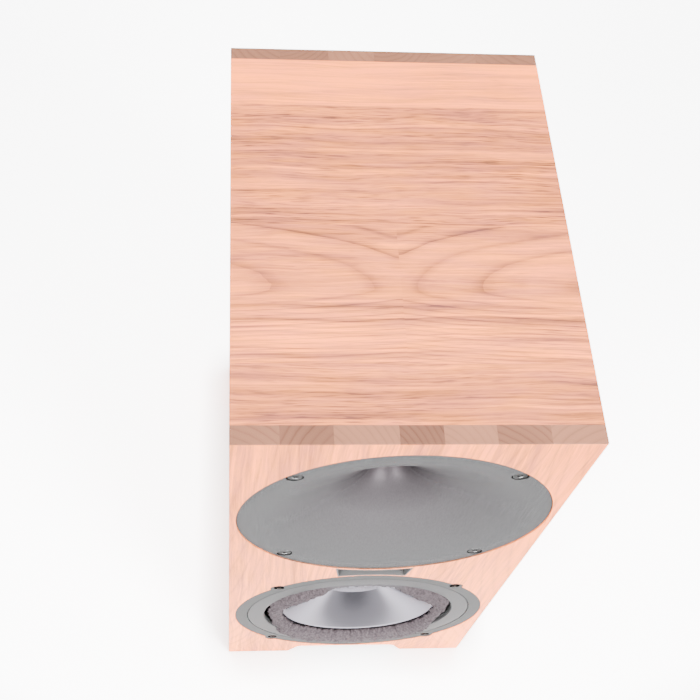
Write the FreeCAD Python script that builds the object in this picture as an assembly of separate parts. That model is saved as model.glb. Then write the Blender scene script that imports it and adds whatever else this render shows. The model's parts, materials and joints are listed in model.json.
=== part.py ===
import FreeCAD, Part
import math
import os

# Stand-mounted two-way loudspeaker in a solid-wood cabinet.
# Millimetres. +X to the right seen from the front, +Y to the back, +Z up.
# Origin: middle of the whole speaker's footprint, at floor level.

os.makedirs("parts", exist_ok=True)
V = FreeCAD.Vector

# ---- cabinet ---------------------------------------------------------------
cab_w = 280.0            # width over the side panels
cab_d = 395.0            # depth from front board to back board
cab_h = 600.0            # height
baffle_t = 16.0          # front board
back_t = 14.0            # back board
side_t = 16.0            # sides, top and bottom boards
edge_r = 1.2             # softened outer arrises
floor_z = 44.0           # upper face of the bottom board
dado = 5.0               # how deep the bottom board sits in the sides
roll_proud = 5.0         # how far the woofer's roll stands in front of the board
brace_t = 16.0
brace_z = 330.0          # underside of the brace
brace_rim = 38.0         # width left round the brace's window
brace_front = 100.0      # from the front board's face to the brace
brace_corner_r = 20.0    # round corners at the back of the window
cleat_gap = 0.5          # from a cleat to the woofer's hole
cleat_d = 20.0
spline_t = 3.0
spline_w = 13.0
spline_in = 0.6          # its middle, in thicknesses of the board from the corner
felt_t = 9.0
felt_gap = 6.0           # bare wood round the felt at the cleats and the bottom
felt_edge = 4.0          # bare wood at the brace and between the felts

# ---- notch in the foot of the front and back boards ------------------------
notch_h = 23.0
notch_top = 57.0         # half width at its top
notch_foot = 69.0        # half width at the floor
notch_r = 9.0

# ---- horn ------------------------------------------------------------------
horn_drop = 18.6         # wood left over the horn
horn_r = 134.0
horn_fit = 0.3           # gap round the flange in its rebate
horn_recess = 1.0        # flange below the board's face
horn_flange_t = 5.0
horn_hole_r = 117.0
hole_play = 0.5          # room round the horn and the woofer in their holes
horn_wall = 4.0
throat_r = 12.7
flare_start_r = 128.0    # rim is flat outside this radius
wall_slope = 0.45        # depth gained per unit of radius half way in
rim_pow = 6              # how late the rim turns into the wall
throat_slope = 3.2       # slope added at the throat
throat_flange_r = 45.0
throat_flange_t = 8.0
horn_back_in = 9.0       # from the hole's edge to where the horn's back turns off
horn_neck = 1.75         # end of the curved back, in throat radii
horn_screw_in = 8.14     # from the horn's edge to the middle of a screw

# ---- woofer ----------------------------------------------------------------
woof_rise = 27.5         # wood left under the woofer
woof_r = 133.0
woof_fit = 0.3
woof_recess = 0.5
woof_flange_t = 5.0
woof_hole_r = 115.5
lug_r = 8.6
woof_screw_in = 3.28     # from the frame's edge to the middle of a screw
woof_screw_turn = 46.31  # angle of the screws above and below the horizontal
gasket_ro = 119.6
gasket_ri = 102.0
gasket_t = 2.5
gasket_step_gap = 0.8    # fine groove between gasket and flange
gasket_edge_r = 0.8
cone_r = 84.0
cone_front = 5.0         # cone's rim behind the board's face
cone_lip = 4.0
cone_depth = 36.0
cone_t = 1.0
roll_t = 0.8
cloth_in = 1.6           # cloth smaller than the gasket over it
cap_r = 34.4
cap_sag = 3.5
cap_t = 0.8
coil_former_ri = 25.4
coil_former_t = 0.5
coil_wind_t = 0.5
coil_gap = 0.4
pole_gap = 0.4
frame_depth = 62.0
frame_wall = 3.5
motor_r = 62.0
motor_top_t = 8.0
magnet_r = 70.0
magnet_t = 20.0
yoke_t = 8.0
spokes = 6
bowl_lip = 14.0          # straight part of the bowl behind its flange
window_half = 22.0       # half width of the windows between the spokes
window_r = 7.0
window_top = 16.0        # from the flange to a window
window_foot = 8.0        # and from its end to the rear ring
rear_ring_w = 8.0        # rear ring wider than the top plate
coil_room = 6.0          # room round the coil in the rear ring
cone_straight = 0.82     # share of the cone's depth that runs straight
motor_air = 8.0          # air inside the magnet, and radius of the hole through the pole
tag_up = 12.0            # solder tags over the rear ring
tag_out = 9.0            # and from the middle
tag_len = 9.0
tag_strip = 16.0         # half width of their strip

# ---- slot port -------------------------------------------------------------
slot_top = 37.4          # half width at its upper edge
slot_foot = 34.0         # half width at its lower edge
slot_lip_horn = 2.2      # wood left under the horn's rebate
slot_lip_woof = 1.2      # wood left over the woofer's rebate
slot_wall = 1.5
duct_len = 100.0

# ---- compression driver ----------------------------------------------------
drv_r = 50.0
drv_plate_t = 8.0
drv_gasket_t = 1.0
gasket_in = 5.0          # gasket smaller than the flange
drv_magnet_r = 58.0
drv_magnet_ri = 32.0
drv_magnet_t = 16.0
drv_top_t = 7.0
drv_pole_r = 21.6
drv_coil_t = 0.4
drv_air = 0.35
dome_rise = 7.0
dome_t = 0.5
drv_cover_t = 20.0
drv_cover_wall = 4.0
drv_bolt_pcr = 34.0      # radius of the circle of bolts
bolt_hole_r = 3.3
bolt_tap_r = 2.9
bolt_r = 2.85
bolt_head_r = 4.6
bolt_head_h = 5.0
drv_rim = 3.0            # step in from the driver's edge to its cover
dome_gap = 1.0           # from the top plate to the dome's rim
susp_w = 6.0             # dome suspension, from the pole's radius to the frame
dome_frame_t = 3.0
cover_screw_in = 6.0     # from the driver's edge to the middle of a cover screw
cover_head_y = 12.0      # depth of the cover screws' heads
cover_head_t = 3.0
cover_head_r = 3.2
cover_screw_r = 1.7
fin_t = 1.2
fin_start = 14.0         # from the driver's front to its fins
plug_start = 6.0         # and to the tip of its bullet
plug_tip_r = 1.5
plug_way = 6.0           # bullet's foot smaller than the pole

# ---- screws ----------------------------------------------------------------
m6_r = 2.9
m6_head_r = 6.0
m6_head_h = 3.2
m6_sink_r = 6.8
insert_r = 4.0
insert_bore = 3.0
m5_r = 2.4
m5_head_r = 5.2
m5_head_h = 2.8
m5_sink_r = 5.6
hex_depth = 2.0
hex_share = 0.42         # socket's corner radius as a share of the head's
thread_len = 9.0
screw_play = 0.3         # wider hole round a screw
screw_way = 12.0         # length of that hole
sink_extra = 0.45        # countersink deeper than the head

# ---- terminal cup and binding posts ----------------------------------------
cup_z = 120.0
cup_w = 96.0
cup_h = 64.0
cup_deep = 36.0
cup_wall = 2.5
cup_rim = 12.0
cup_rim_t = 3.0
cup_corner_r = 9.0
cup_play = 0.2           # room round the cup in its hole
cup_screw_r = 1.6
cup_head_r = 3.0
cup_head_t = 1.5
post_pitch = 19.05       # standard spacing of a pair of plugs
stud_r = 3.0
stud_len = 25.0
stud_tail = 8.0          # stud behind the cup, where its wire is soldered
hex_nut_r = 5.8          # over the corners
hex_nut_t = 4.0
plug_r = 2.0
plug_len = 18.0
base_r = 8.0
base_t = 3.0
washer_r = 7.0
washer_t = 1.2
nut_r = 8.0
nut_len = 14.0
nut_fit = 0.05
knurls = 20
knurl_r = 0.7
knurl_end = 2.0          # plain ends of the nut
nut_edge_r = 0.8

# ---- crossover -------------------------------------------------------------
board_w = 150.0
board_d = 96.0
board_t = 3.0
board_gap = 20.0         # from the board to the back board
standoff = 6.0
fix_in = 8.0             # from the board's edges to its screws
fix_post_r = 4.5
fix_hole_r = 2.0
fix_screw_r = 1.9
fix_head_r = 3.6
fix_head_t = 2.2
cheek_t = 1.5            # cheeks of the windings
lead_r = 0.8
resistor_len = 48.0
resistor_w = 10.0
wire_r = 1.3

# ---- places worked out from the sizes above --------------------------------
total_d = cab_d + roll_proud
face_y = -total_d / 2 + roll_proud      # front face of the front board
rear_y = total_d / 2                    # rear face of the back board
baffle_y = face_y + baffle_t            # back of the front board
inner_y = rear_y - back_t               # front of the back board
half_w = cab_w / 2
horn_z = cab_h - horn_drop - horn_r
woof_z = woof_r + woof_rise
inner_x = half_w - side_t
floor_gap = floor_z - side_t            # free height under the bottom board
cleat_w = inner_x - woof_hole_r - cleat_gap
roof_z = cab_h - side_t                 # lower face of the top board
horn_y = face_y + horn_recess
horn_ledge_y = horn_y + horn_flange_t
woof_y = face_y + woof_recess
woof_ledge_y = woof_y + woof_flange_t
brace_y = face_y + brace_front
motor_y = woof_y + frame_depth + frame_wall
board_y = inner_y - board_gap - board_d


def corner_spots(radius, turn, z):
    """Four places on a circle, at that angle over and under the horizontal on both sides."""
    dx = radius * math.cos(math.radians(turn))
    dz = radius * math.sin(math.radians(turn))
    return [(sx * dx, z + sz * dz) for sx in (-1, 1) for sz in (-1, 1)]


horn_spots = corner_spots(horn_r - horn_screw_in, 45, horn_z)
woof_spots = corner_spots(woof_r - woof_screw_in, woof_screw_turn, woof_z)


# ---- helpers ---------------------------------------------------------------
def save(name, *solids):
    """Write one node; several solids go in as one compound."""
    shape = solids[0] if len(solids) == 1 else Part.makeCompound(list(solids))
    shape.exportStep("parts/" + name + ".step")
    print(name, round(shape.Volume / 1000.0, 2), "cm3", "ok" if shape.isValid() else "NOT VALID")


def block(x0, x1, y0, y1, z0, z1):
    return Part.makeBox(x1 - x0, y1 - y0, z1 - z0, V(x0, y0, z0))


def rod(r, y0, y1, x=0.0, z=0.0):
    """Cylinder along Y."""
    return Part.makeCylinder(r, y1 - y0, V(x, y0, z), V(0, 1, 0))


def taper(r0, r1, y0, y1, x=0.0, z=0.0):
    """Cone along Y."""
    return Part.makeCone(r0, r1, y1 - y0, V(x, y0, z), V(0, 1, 0))


def ring(ro, ri, y0, y1, x=0.0, z=0.0):
    return rod(ro, y0, y1, x, z).cut(rod(ri, y0 - 1, y1 + 1, x, z))


def lathe(edges, z):
    """Turn a closed outline of edges, drawn as radius and depth, about the axis at height z."""
    face = Part.Face(Part.Wire(edges))
    solid = face.revolve(V(0, 0, z), V(0, 1, 0), 360)
    return Part.makeSolid(Part.Shell(solid.Faces)) if solid.ShapeType != "Solid" else solid


def at(r, y, z):
    return V(r, y, z)


def lines(points, z):
    """Straight edges through (radius, depth) points."""
    p = [at(r, y, z) for r, y in points]
    return [Part.makeLine(a, b) for a, b in zip(p, p[1:])]


def smooth(points, z):
    """One smooth edge through (radius, depth) points."""
    curve = Part.BSplineCurve()
    curve.interpolate([at(r, y, z) for r, y in points])
    return [curve.toShape()]


def arc(a, b, c, z):
    return [Part.Arc(at(*a, z), at(*b, z), at(*c, z)).toShape()]


def cap_arc(r, y, rise, z):
    """Arc from the axis to the rim, square to the axis at its top, as a ball's surface is."""
    ball_r = (r * r + rise * rise) / (2 * rise)
    half = math.asin(r / ball_r) / 2
    return arc((0, y + rise), (ball_r * math.sin(half), y + rise - ball_r * (1 - math.cos(half))), (r, y), z)


def fuse(first, *rest):
    return first.multiFuse(list(rest)).removeSplitter() if rest else first


def soften(shape, radius, test):
    """Round the edges whose middle passes the test."""
    edges = [e for e in shape.Edges if test(e.CenterOfMass, e)]
    return shape.makeFillet(radius, edges)


# ---- cabinet boards --------------------------------------------------------
def notch(y0, y1):
    """Soft-cornered opening in the foot of a board."""
    pts = [V(-notch_foot, y0, -1), V(-notch_foot, y0, 0), V(-notch_top, y0, notch_h),
           V(notch_top, y0, notch_h), V(notch_foot, y0, 0), V(notch_foot, y0, -1)]
    solid = Part.Face(Part.makePolygon(pts + [pts[0]])).extrude(V(0, y1 - y0, 0))
    return soften(solid, notch_r, lambda c, e: abs(c.z - notch_h) < 0.1 and e.Length < y1 - y0 + 0.1)


def slot_prism(inset, y0, y1):
    """Space between the two round rebates, cut off at slanted ends; inset shrinks it."""
    z_top = horn_z
    z_foot = woof_z
    slant = (slot_top - slot_foot) / (horn_z - woof_z - horn_r - woof_r)
    mid = (horn_z - horn_r + woof_z + woof_r) / 2
    half = (slot_top + slot_foot) / 2 - inset
    wide = half + slant * (z_top - mid)
    thin = half - slant * (mid - z_foot)
    pts = [V(-thin, y0, z_foot), V(-wide, y0, z_top), V(wide, y0, z_top), V(thin, y0, z_foot)]
    solid = Part.Face(Part.makePolygon(pts + [pts[0]])).extrude(V(0, y1 - y0, 0))
    horn_cut = horn_r + horn_fit + slot_lip_horn + inset
    woof_cut = woof_r + woof_fit + slot_lip_woof + inset
    solid = solid.cut(rod(horn_cut, y0 - 1, y1 + 1, 0, horn_z))
    solid = solid.cut(rod(woof_cut, y0 - 1, y1 + 1, 0, woof_z))
    return max(solid.Solids, key=lambda s: s.Volume)


def front_baffle():
    board = block(-half_w, half_w, face_y, baffle_y, 0, cab_h)
    board = soften(board, edge_r, lambda c, e: abs(c.y - face_y) < 0.1)
    board = board.cut(notch(face_y - 1, baffle_y + 1))
    board = board.cut(rod(horn_r + horn_fit, face_y - 1, horn_ledge_y, 0, horn_z))
    board = board.cut(rod(horn_hole_r, face_y, baffle_y + 1, 0, horn_z))
    board = board.cut(rod(woof_r + woof_fit, face_y - 1, woof_ledge_y, 0, woof_z))
    board = board.cut(rod(woof_hole_r, face_y, baffle_y + 1, 0, woof_z))
    board = board.cut(slot_prism(0, face_y - 1, baffle_y + 1))
    for x, z in woof_spots:
        board = board.cut(rod(lug_r + woof_fit, face_y - 1, woof_ledge_y, x, z))
        board = board.cut(rod(insert_r, woof_ledge_y - 1, baffle_y + 1, x, z))
    for x, z in horn_spots:
        board = board.cut(rod(insert_r, horn_ledge_y - 1, baffle_y + 1, x, z))
    return board


def back_panel():
    board = block(-half_w, half_w, inner_y, rear_y, 0, cab_h)
    board = soften(board, edge_r, lambda c, e: abs(c.y - rear_y) < 0.1)
    board = board.cut(notch(inner_y - 1, rear_y + 1))
    board = board.cut(cup_outline(0, inner_y - 1, rear_y + 1))
    board = board.cut(cup_outline(cup_rim, rear_y - cup_rim_t, rear_y + 1))
    for x, z in cup_spots():
        board = board.cut(rod(cup_screw_r, inner_y, rear_y, x, z))
    return board


def spline_key(sign):
    """Thin key across the mitre between top and side."""
    key = block(-spline_t / 2, spline_t / 2, baffle_y, inner_y, -spline_w / 2, spline_w / 2)
    key.rotate(V(0, 0, 0), V(0, 1, 0), 45 * sign + 90)
    key.translate(V(sign * (half_w - side_t * spline_in), 0, cab_h - side_t * spline_in))
    return key


def top_panel():
    pts = [V(-half_w, baffle_y, cab_h), V(half_w, baffle_y, cab_h),
           V(inner_x, baffle_y, roof_z), V(-inner_x, baffle_y, roof_z)]
    board = Part.Face(Part.makePolygon(pts + [pts[0]])).extrude(V(0, inner_y - baffle_y, 0))
    return board.cut(spline_key(1)).cut(spline_key(-1))


def side_panel(sign):
    x0, x1 = sorted((sign * inner_x, sign * half_w))
    pts = [V(sign * half_w, baffle_y, 0), V(sign * half_w, baffle_y, cab_h),
           V(sign * inner_x, baffle_y, roof_z), V(sign * inner_x, baffle_y, 0)]
    board = Part.Face(Part.makePolygon(pts + [pts[0]])).extrude(V(0, inner_y - baffle_y, 0))
    groove = sorted((sign * (inner_x - 1), sign * (inner_x + dado)))
    board = board.cut(block(groove[0], groove[1], baffle_y, inner_y, floor_gap, floor_z))
    return board.cut(spline_key(sign))


def bottom_panel():
    return block(-inner_x - dado, inner_x + dado, baffle_y, inner_y, floor_gap, floor_z)


def window_brace():
    ring_plate = block(-inner_x, inner_x, brace_y, inner_y, brace_z, brace_z + brace_t)
    window = block(-inner_x + brace_rim, inner_x - brace_rim, brace_y - 1, inner_y - brace_rim,
                   brace_z - 1, brace_z + brace_t + 1)
    window = soften(window, brace_corner_r,
                    lambda c, e: abs(c.y - (inner_y - brace_rim)) < 0.1 and abs(e.Length - brace_t - 2) < 0.1)
    plate = ring_plate.cut(window)
    for x in (-inner_x, inner_x):
        plate = plate.cut(block(x - cleat_w, x + cleat_w, inner_y - cleat_d, inner_y,
                                brace_z - 1, brace_z + brace_t + 1))
    return plate


def corner_cleats():
    strips = []
    for sign in (-1, 1):
        x0, x1 = sorted((sign * inner_x, sign * (inner_x - cleat_w)))
        for y0 in (baffle_y, inner_y - cleat_d):
            strips.append(block(x0, x1, y0, y0 + cleat_d, floor_z, roof_z))
    return strips


def damping_felt():
    """Felt on both sides, below and above the brace, and under the top."""
    y0 = baffle_y + cleat_d + felt_gap
    y1 = inner_y - cleat_d - felt_gap
    pads = []
    for sign in (-1, 1):
        x0, x1 = sorted((sign * inner_x, sign * (inner_x - felt_t)))
        pads.append(block(x0, x1, y0, y1, floor_z + felt_gap, brace_z - felt_edge))
        pads.append(block(x0, x1, y0, y1, brace_z + brace_t + felt_edge, roof_z - felt_t - felt_edge))
    pads.append(block(-inner_x + felt_edge, inner_x - felt_edge, y0, y1, roof_z - felt_t, roof_z))
    return pads


# ---- screws ----------------------------------------------------------------
def sunk_screw(x, z, y, head_r, head_h, r, length):
    """Countersunk screw with a hexagon socket, its head's face at depth y."""
    body = fuse(taper(head_r, r, y, y + head_h, x, z), rod(r, y + head_h - 0.2, y + length, x, z))
    hexagon = Part.makePolygon([V(x + head_r * hex_share * math.cos(math.radians(60 * i)), y - 0.1,
                                  z + head_r * hex_share * math.sin(math.radians(60 * i))) for i in range(7)])
    return body.cut(Part.Face(hexagon).extrude(V(0, hex_depth + 0.1, 0)))


def sink(x, z, y, head_r, head_h, r, depth):
    """Countersink and clearance hole for that screw."""
    return fuse(taper(head_r, r, y, y + head_h, x, z), rod(r, y, y + depth, x, z),
                rod(head_r, y - 2, y, x, z))


def inserts(spots, y0, y1):
    return [ring(insert_r, insert_bore, y0, y1, x, z) for x, z in spots]


# ---- horn and compression driver -------------------------------------------
def flare(r):
    """Depth of the horn's inner face behind its rim at radius r."""
    if r >= flare_start_r:
        return 0.0
    share = r / flare_start_r
    wall = flare_start_r * (1 - share - (1 - share ** (rim_pow + 1)) / (rim_pow + 1))
    throat = throat_r / 2 * ((throat_r / r) ** 2 - (throat_r / flare_start_r) ** 2)
    return wall_slope * wall + throat_slope * throat


def flare_slope(r):
    if r >= flare_start_r:
        return 0.0
    return wall_slope * (1 - (r / flare_start_r) ** rim_pow) + throat_slope * (throat_r / r) ** 3


def flare_outside(r):
    """Point on the horn's back, one wall thickness out from the inner face."""
    s = flare_slope(r)
    n = math.hypot(1, s)
    return (r + horn_wall * s / n, horn_y + flare(r) + horn_wall / n)


throat_y = horn_y + flare(throat_r)
horn_sink_y = horn_y + flare(horn_r - horn_screw_in - m6_sink_r)


def horn():
    steps = 11
    radii = [flare_start_r * (throat_r / flare_start_r) ** (i / steps) for i in range(steps + 1)]
    radii[-1] = throat_r
    inner = smooth([(r, horn_y + flare(r)) for r in radii], horn_z)
    outer_top = horn_hole_r - horn_back_in
    outer_foot = throat_r * horn_neck
    outer_steps = 8
    outer_pts = [flare_outside(outer_top * (outer_foot / outer_top) ** (i / outer_steps))
                 for i in range(outer_steps + 1)]
    outer = smooth(outer_pts[::-1], horn_z)
    flange_y = throat_y - throat_flange_t
    shape = lathe(inner
                  + lines([(throat_r, throat_y), (throat_flange_r, throat_y),
                           (throat_flange_r, flange_y), (outer_pts[-1][0], flange_y),
                           outer_pts[-1]], horn_z)
                  + outer
                  + lines([outer_pts[0], (horn_hole_r - hole_play, horn_ledge_y),
                           (horn_r, horn_ledge_y), (horn_r, horn_y), (flare_start_r, horn_y)], horn_z), horn_z)
    for x, z in horn_spots:
        shape = shape.cut(sink(x, z, horn_sink_y, m6_sink_r, m6_head_h + sink_extra, m6_r + screw_play, screw_way))
    for x, z in bolt_spots():
        shape = shape.cut(rod(bolt_hole_r, flange_y - 1, throat_y + 1, x, z))
    return shape


def bolt_spots():
    return [(drv_bolt_pcr * math.cos(math.radians(90 + 120 * i)),
             horn_z + drv_bolt_pcr * math.sin(math.radians(90 + 120 * i))) for i in range(3)]


drv_y = throat_y + drv_gasket_t                       # front of the driver
drv_plate_y = drv_y + drv_plate_t                     # front of its magnet
drv_top_y = drv_plate_y + drv_magnet_t                # front of its top plate
drv_rear_y = drv_top_y + drv_top_t                    # rear of its top plate
coil_ri = drv_pole_r + drv_air
coil_ro = coil_ri + drv_coil_t
drv_gap_r = coil_ro + drv_air


def driver_gasket():
    return ring(throat_flange_r - gasket_in, throat_r + hole_play, throat_y, drv_y, 0, horn_z).cut(
        fuse(*[rod(bolt_hole_r, throat_y - 1, drv_y + 1, x, z) for x, z in bolt_spots()]))


def plug_bore():
    """Tapered way through the pole, which opens towards the dome."""
    return taper(throat_r, drv_pole_r - 3, drv_y, drv_rear_y, 0, horn_z)


def driver_pole():
    plate = fuse(rod(drv_r, drv_y, drv_plate_y, 0, horn_z), rod(drv_pole_r, drv_y, drv_rear_y, 0, horn_z))
    plate = plate.cut(plug_bore())
    for x, z in bolt_spots():
        plate = plate.cut(rod(bolt_tap_r, drv_y - 1, drv_plate_y + 1, x, z))
    return plate


def phase_plug():
    """Bullet on three thin fins inside the pole."""
    bullet = taper(plug_tip_r, drv_pole_r - plug_way, drv_y + plug_start, drv_rear_y, 0, horn_z)
    fin = block(-fin_t / 2, fin_t / 2, drv_y + fin_start, drv_rear_y - 1, horn_z, horn_z + drv_pole_r)
    fins = []
    for i in range(3):
        blade = fin.copy()
        blade.rotate(V(0, 0, horn_z), V(0, 1, 0), 60 + 120 * i)
        fins.append(blade)
    return fuse(bullet, *fins).common(plug_bore())


def driver_bolts():
    bolts = []
    head_y = throat_y - throat_flange_t
    for x, z in bolt_spots():
        bolts.append(fuse(rod(bolt_head_r, head_y - bolt_head_h, head_y, x, z), rod(bolt_r, head_y - 1, drv_plate_y - 1, x, z)))
    return bolts


def dome():
    """Thin dome bulging to the back, with its flat rim on the coil."""
    y = drv_rear_y + dome_gap
    return lathe(cap_arc(coil_ri, y, dome_rise, horn_z)
                 + lines([(coil_ri, y), (coil_ro, y), (coil_ro, y + dome_t), (coil_ri, y + dome_t)], horn_z)
                 + cap_arc(coil_ri, y + dome_t, dome_rise, horn_z)
                 + lines([(0, y + dome_rise + dome_t), (0, y + dome_rise)], horn_z), horn_z)


def dome_coil():
    return ring(coil_ro, coil_ri, drv_top_y + 1.5, drv_rear_y + dome_gap, 0, horn_z)


def dome_suspension():
    y = drv_rear_y + dome_gap
    return ring(drv_pole_r + susp_w, coil_ro, y, y + dome_t, 0, horn_z)


def dome_frame():
    return fuse(ring(drv_r - drv_rim, drv_pole_r + susp_w, drv_rear_y, drv_rear_y + dome_frame_t, 0, horn_z),
                ring(drv_r - drv_rim, drv_pole_r + susp_w - 2, drv_rear_y, drv_rear_y + dome_gap, 0, horn_z))


def cover_spots():
    radius = drv_r - cover_screw_in
    return [(radius * math.cos(math.radians(30 + 120 * i)),
             horn_z + radius * math.sin(math.radians(30 + 120 * i))) for i in range(3)]


cover_y = drv_rear_y + dome_frame_t


def driver_cover():
    cap = rod(drv_r - drv_rim, cover_y, cover_y + drv_cover_t, 0, horn_z)
    cap = soften(cap, 3, lambda c, e: abs(c.y - cover_y - drv_cover_t) < 0.1)
    cap = cap.cut(rod(drv_pole_r + susp_w + 2, cover_y - 1, cover_y + drv_cover_t - drv_cover_wall, 0, horn_z))
    for x, z in cover_spots():
        cap = cap.cut(rod(cover_screw_r + 0.1, cover_y - 1, cover_y + drv_cover_t + 1, x, z))
        cap = cap.cut(rod(cover_head_r + 0.4, cover_y + cover_head_y, cover_y + drv_cover_t + 1, x, z))
    return cap


def cover_screws():
    head_y = cover_y + cover_head_y
    return [fuse(rod(cover_head_r, head_y, head_y + cover_head_t, x, z), rod(cover_screw_r, cover_y, head_y + 1, x, z))
            for x, z in cover_spots()]


# ---- woofer ----------------------------------------------------------------
def cone_depth_at(r):
    """Cone's front face behind its rim, deeper towards the neck."""
    share = (cone_r - cone_lip - r) / (cone_r - cone_lip - coil_former_ri)
    return cone_depth * (cone_straight * share + (1 - cone_straight) * share ** 2)


cone_y = face_y + cone_front
neck_y = cone_y + cone_depth
coil_ro_w = coil_former_ri + coil_former_t + coil_wind_t


rear_ring_r = motor_r + rear_ring_w


def woofer_basket():
    step_r = gasket_ro + gasket_step_gap
    seat_y = woof_y + gasket_t + roll_t
    flange = rod(woof_r, woof_y, woof_ledge_y, 0, woof_z)
    lugs = [rod(lug_r, woof_y, woof_ledge_y, x, z) for x, z in woof_spots]
    flange = fuse(flange, *lugs).cut(rod(step_r, woof_y - 1, seat_y, 0, woof_z))
    flange = flange.cut(rod(gasket_ri, woof_y - 1, woof_ledge_y + 1, 0, woof_z))
    back = woof_y + frame_depth
    r_top = woof_hole_r - hole_play
    bowl = lathe(lines([(r_top, woof_ledge_y - 1), (r_top, woof_ledge_y + bowl_lip), (rear_ring_r, back),
                        (rear_ring_r, motor_y), (coil_ro_w + coil_room, motor_y), (coil_ro_w + coil_room, back),
                        (motor_r + 3, back), (r_top - frame_wall, woof_ledge_y + bowl_lip - 1),
                        (r_top - frame_wall, woof_ledge_y - 1), (r_top, woof_ledge_y - 1)], woof_z), woof_z)
    for i in range(spokes):
        window = block(-window_half, window_half, woof_ledge_y + window_top, back - window_foot,
                       woof_z + motor_r - 6, woof_z + woof_r)
        window = soften(window, window_r, lambda c, e: abs(abs(c.x) - window_half) < 0.1 and e.Length > woof_r - motor_r)
        window.rotate(V(0, 0, woof_z), V(0, 1, 0), 360 / spokes * (i + 0.5))
        bowl = bowl.cut(window)
    shape = fuse(flange, bowl)
    for x, z in woof_spots:
        shape = shape.cut(sink(x, z, woof_y, m5_sink_r, m5_head_h + sink_extra, m5_r + screw_play, screw_way))
    return shape


def woofer_gasket():
    return soften(ring(gasket_ro, gasket_ri, woof_y, woof_y + gasket_t, 0, woof_z), gasket_edge_r,
                  lambda c, e: c.y < woof_y + 0.1)


def woofer_surround():
    """Half roll of cloth from under the gasket to the cone's rim."""
    lip_y = woof_y + gasket_t
    ro = gasket_ri - 0.4
    cloth_ro = gasket_ro - cloth_in
    ri = cone_r
    rm = (ro + ri) / 2
    top = face_y - roll_proud
    seat = cone_y - roll_t
    return lathe(lines([(cloth_ro, lip_y), (ro, lip_y)], woof_z)
                 + arc((ro, lip_y), (rm, top), (ri, seat), woof_z)
                 + lines([(ri, seat), (ri - cone_lip, seat), (ri - cone_lip, cone_y), (ri + roll_t, cone_y)], woof_z)
                 + arc((ri + roll_t, cone_y), (rm, top + roll_t), (ro - roll_t, lip_y + roll_t), woof_z)
                 + lines([(ro - roll_t, lip_y + roll_t), (cloth_ro, lip_y + roll_t),
                          (cloth_ro, lip_y)], woof_z), woof_z)


def woofer_cone():
    rim = cone_r - cone_lip
    neck = coil_former_ri + coil_former_t
    radii = [rim + (neck - rim) * i / 4 for i in range(5)]
    front = smooth([(r, cone_y + cone_depth_at(r)) for r in radii], woof_z)
    back = smooth([(r + cone_t * 0.6, cone_y + cone_depth_at(r) + cone_t) for r in radii[:-1]][::-1], woof_z)
    last = radii[-2] + cone_t * 0.6
    return lathe(lines([(cone_r, cone_y + cone_t), (cone_r, cone_y), (rim, cone_y)], woof_z)
                 + front
                 + lines([(neck, cone_y + cone_depth_at(neck)), (neck, cone_y + cone_depth_at(neck) + cone_t * 1.6),
                          (last, cone_y + cone_depth_at(radii[-2]) + cone_t)], woof_z)
                 + back
                 + lines([(rim + cone_t * 0.6, cone_y + cone_t), (cone_r, cone_y + cone_t)], woof_z), woof_z)


def dust_cap():
    """Shallow dish closing the cone's neck, hollow side to the front."""
    y = cone_y + cone_depth_at(cap_r) - 0.1
    return lathe(cap_arc(cap_r, y - cap_t, cap_sag, woof_z)
                 + lines([(cap_r, y - cap_t), (cap_r, y)], woof_z)
                 + cap_arc(cap_r, y, cap_sag, woof_z)
                 + lines([(0, y + cap_sag), (0, y + cap_sag - cap_t)], woof_z), woof_z)


def woofer_coil():
    former = ring(coil_former_ri + coil_former_t, coil_former_ri, neck_y - 2, motor_y + 14, 0, woof_z)
    winding = ring(coil_ro_w, coil_former_ri + coil_former_t, motor_y - 4, motor_y + 12, 0, woof_z)
    return former, winding


spider_r = motor_r + 6
spider_lip = 5.0
spider_t = 0.6
spider_ledge_t = 2.5
spider_y = neck_y + 7.0
spider_waves = 5
spider_wave_h = 1.4


def woofer_spider():
    """Corrugated centring disc between former and frame."""
    ri = coil_former_ri + coil_former_t
    ro = spider_r
    y = spider_y
    folds = spider_waves * 2
    pitch = (ro - ri) / folds
    zig = [(ri + pitch * i, y + (spider_wave_h if i % 2 else 0.0)) for i in range(folds + 1)]
    zig.append((ro + spider_lip, y))
    back = [(r, d + spider_t) for r, d in zig][::-1]
    return lathe(lines(zig + back + [zig[0]], woof_z), woof_z)


def spider_ledge():
    """Inner shelf of the frame that the spider's edge is glued to."""
    y = spider_y + spider_t
    wall_r = rear_ring_r + (woof_hole_r - rear_ring_r) * (motor_y - y) / (motor_y - woof_ledge_y)
    return ring(wall_r - frame_wall, spider_r + 0.3, y, y + spider_ledge_t, 0, woof_z)


def woofer_motor():
    top = ring(motor_r, coil_ro_w + coil_gap, motor_y, motor_y + motor_top_t, 0, woof_z)
    magnet = ring(magnet_r, coil_ro_w + motor_air, motor_y + motor_top_t, motor_y + motor_top_t + magnet_t, 0, woof_z)
    yoke_y = motor_y + motor_top_t + magnet_t
    yoke = fuse(rod(motor_r, yoke_y, yoke_y + yoke_t, 0, woof_z),
                rod(coil_former_ri - pole_gap, motor_y, yoke_y + 1, 0, woof_z))
    return top, magnet, yoke.cut(rod(motor_air, motor_y - 1, yoke_y + yoke_t + 1, 0, woof_z))


tag_z = woof_z + motor_r + tag_up
tag_x = [-tag_out, tag_out]


def woofer_terminals():
    """Insulating strip with two solder tags on top of the frame's rear ring."""
    y = motor_y
    strip = block(-tag_strip, tag_strip, y - frame_wall, y, woof_z, tag_z + 4).cut(rod(rear_ring_r, y - frame_wall, y, 0, woof_z))
    tags = [block(x - 2, x + 2, y, y + tag_len, tag_z - 0.5, tag_z + 0.5) for x in tag_x]
    return [strip] + tags


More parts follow.
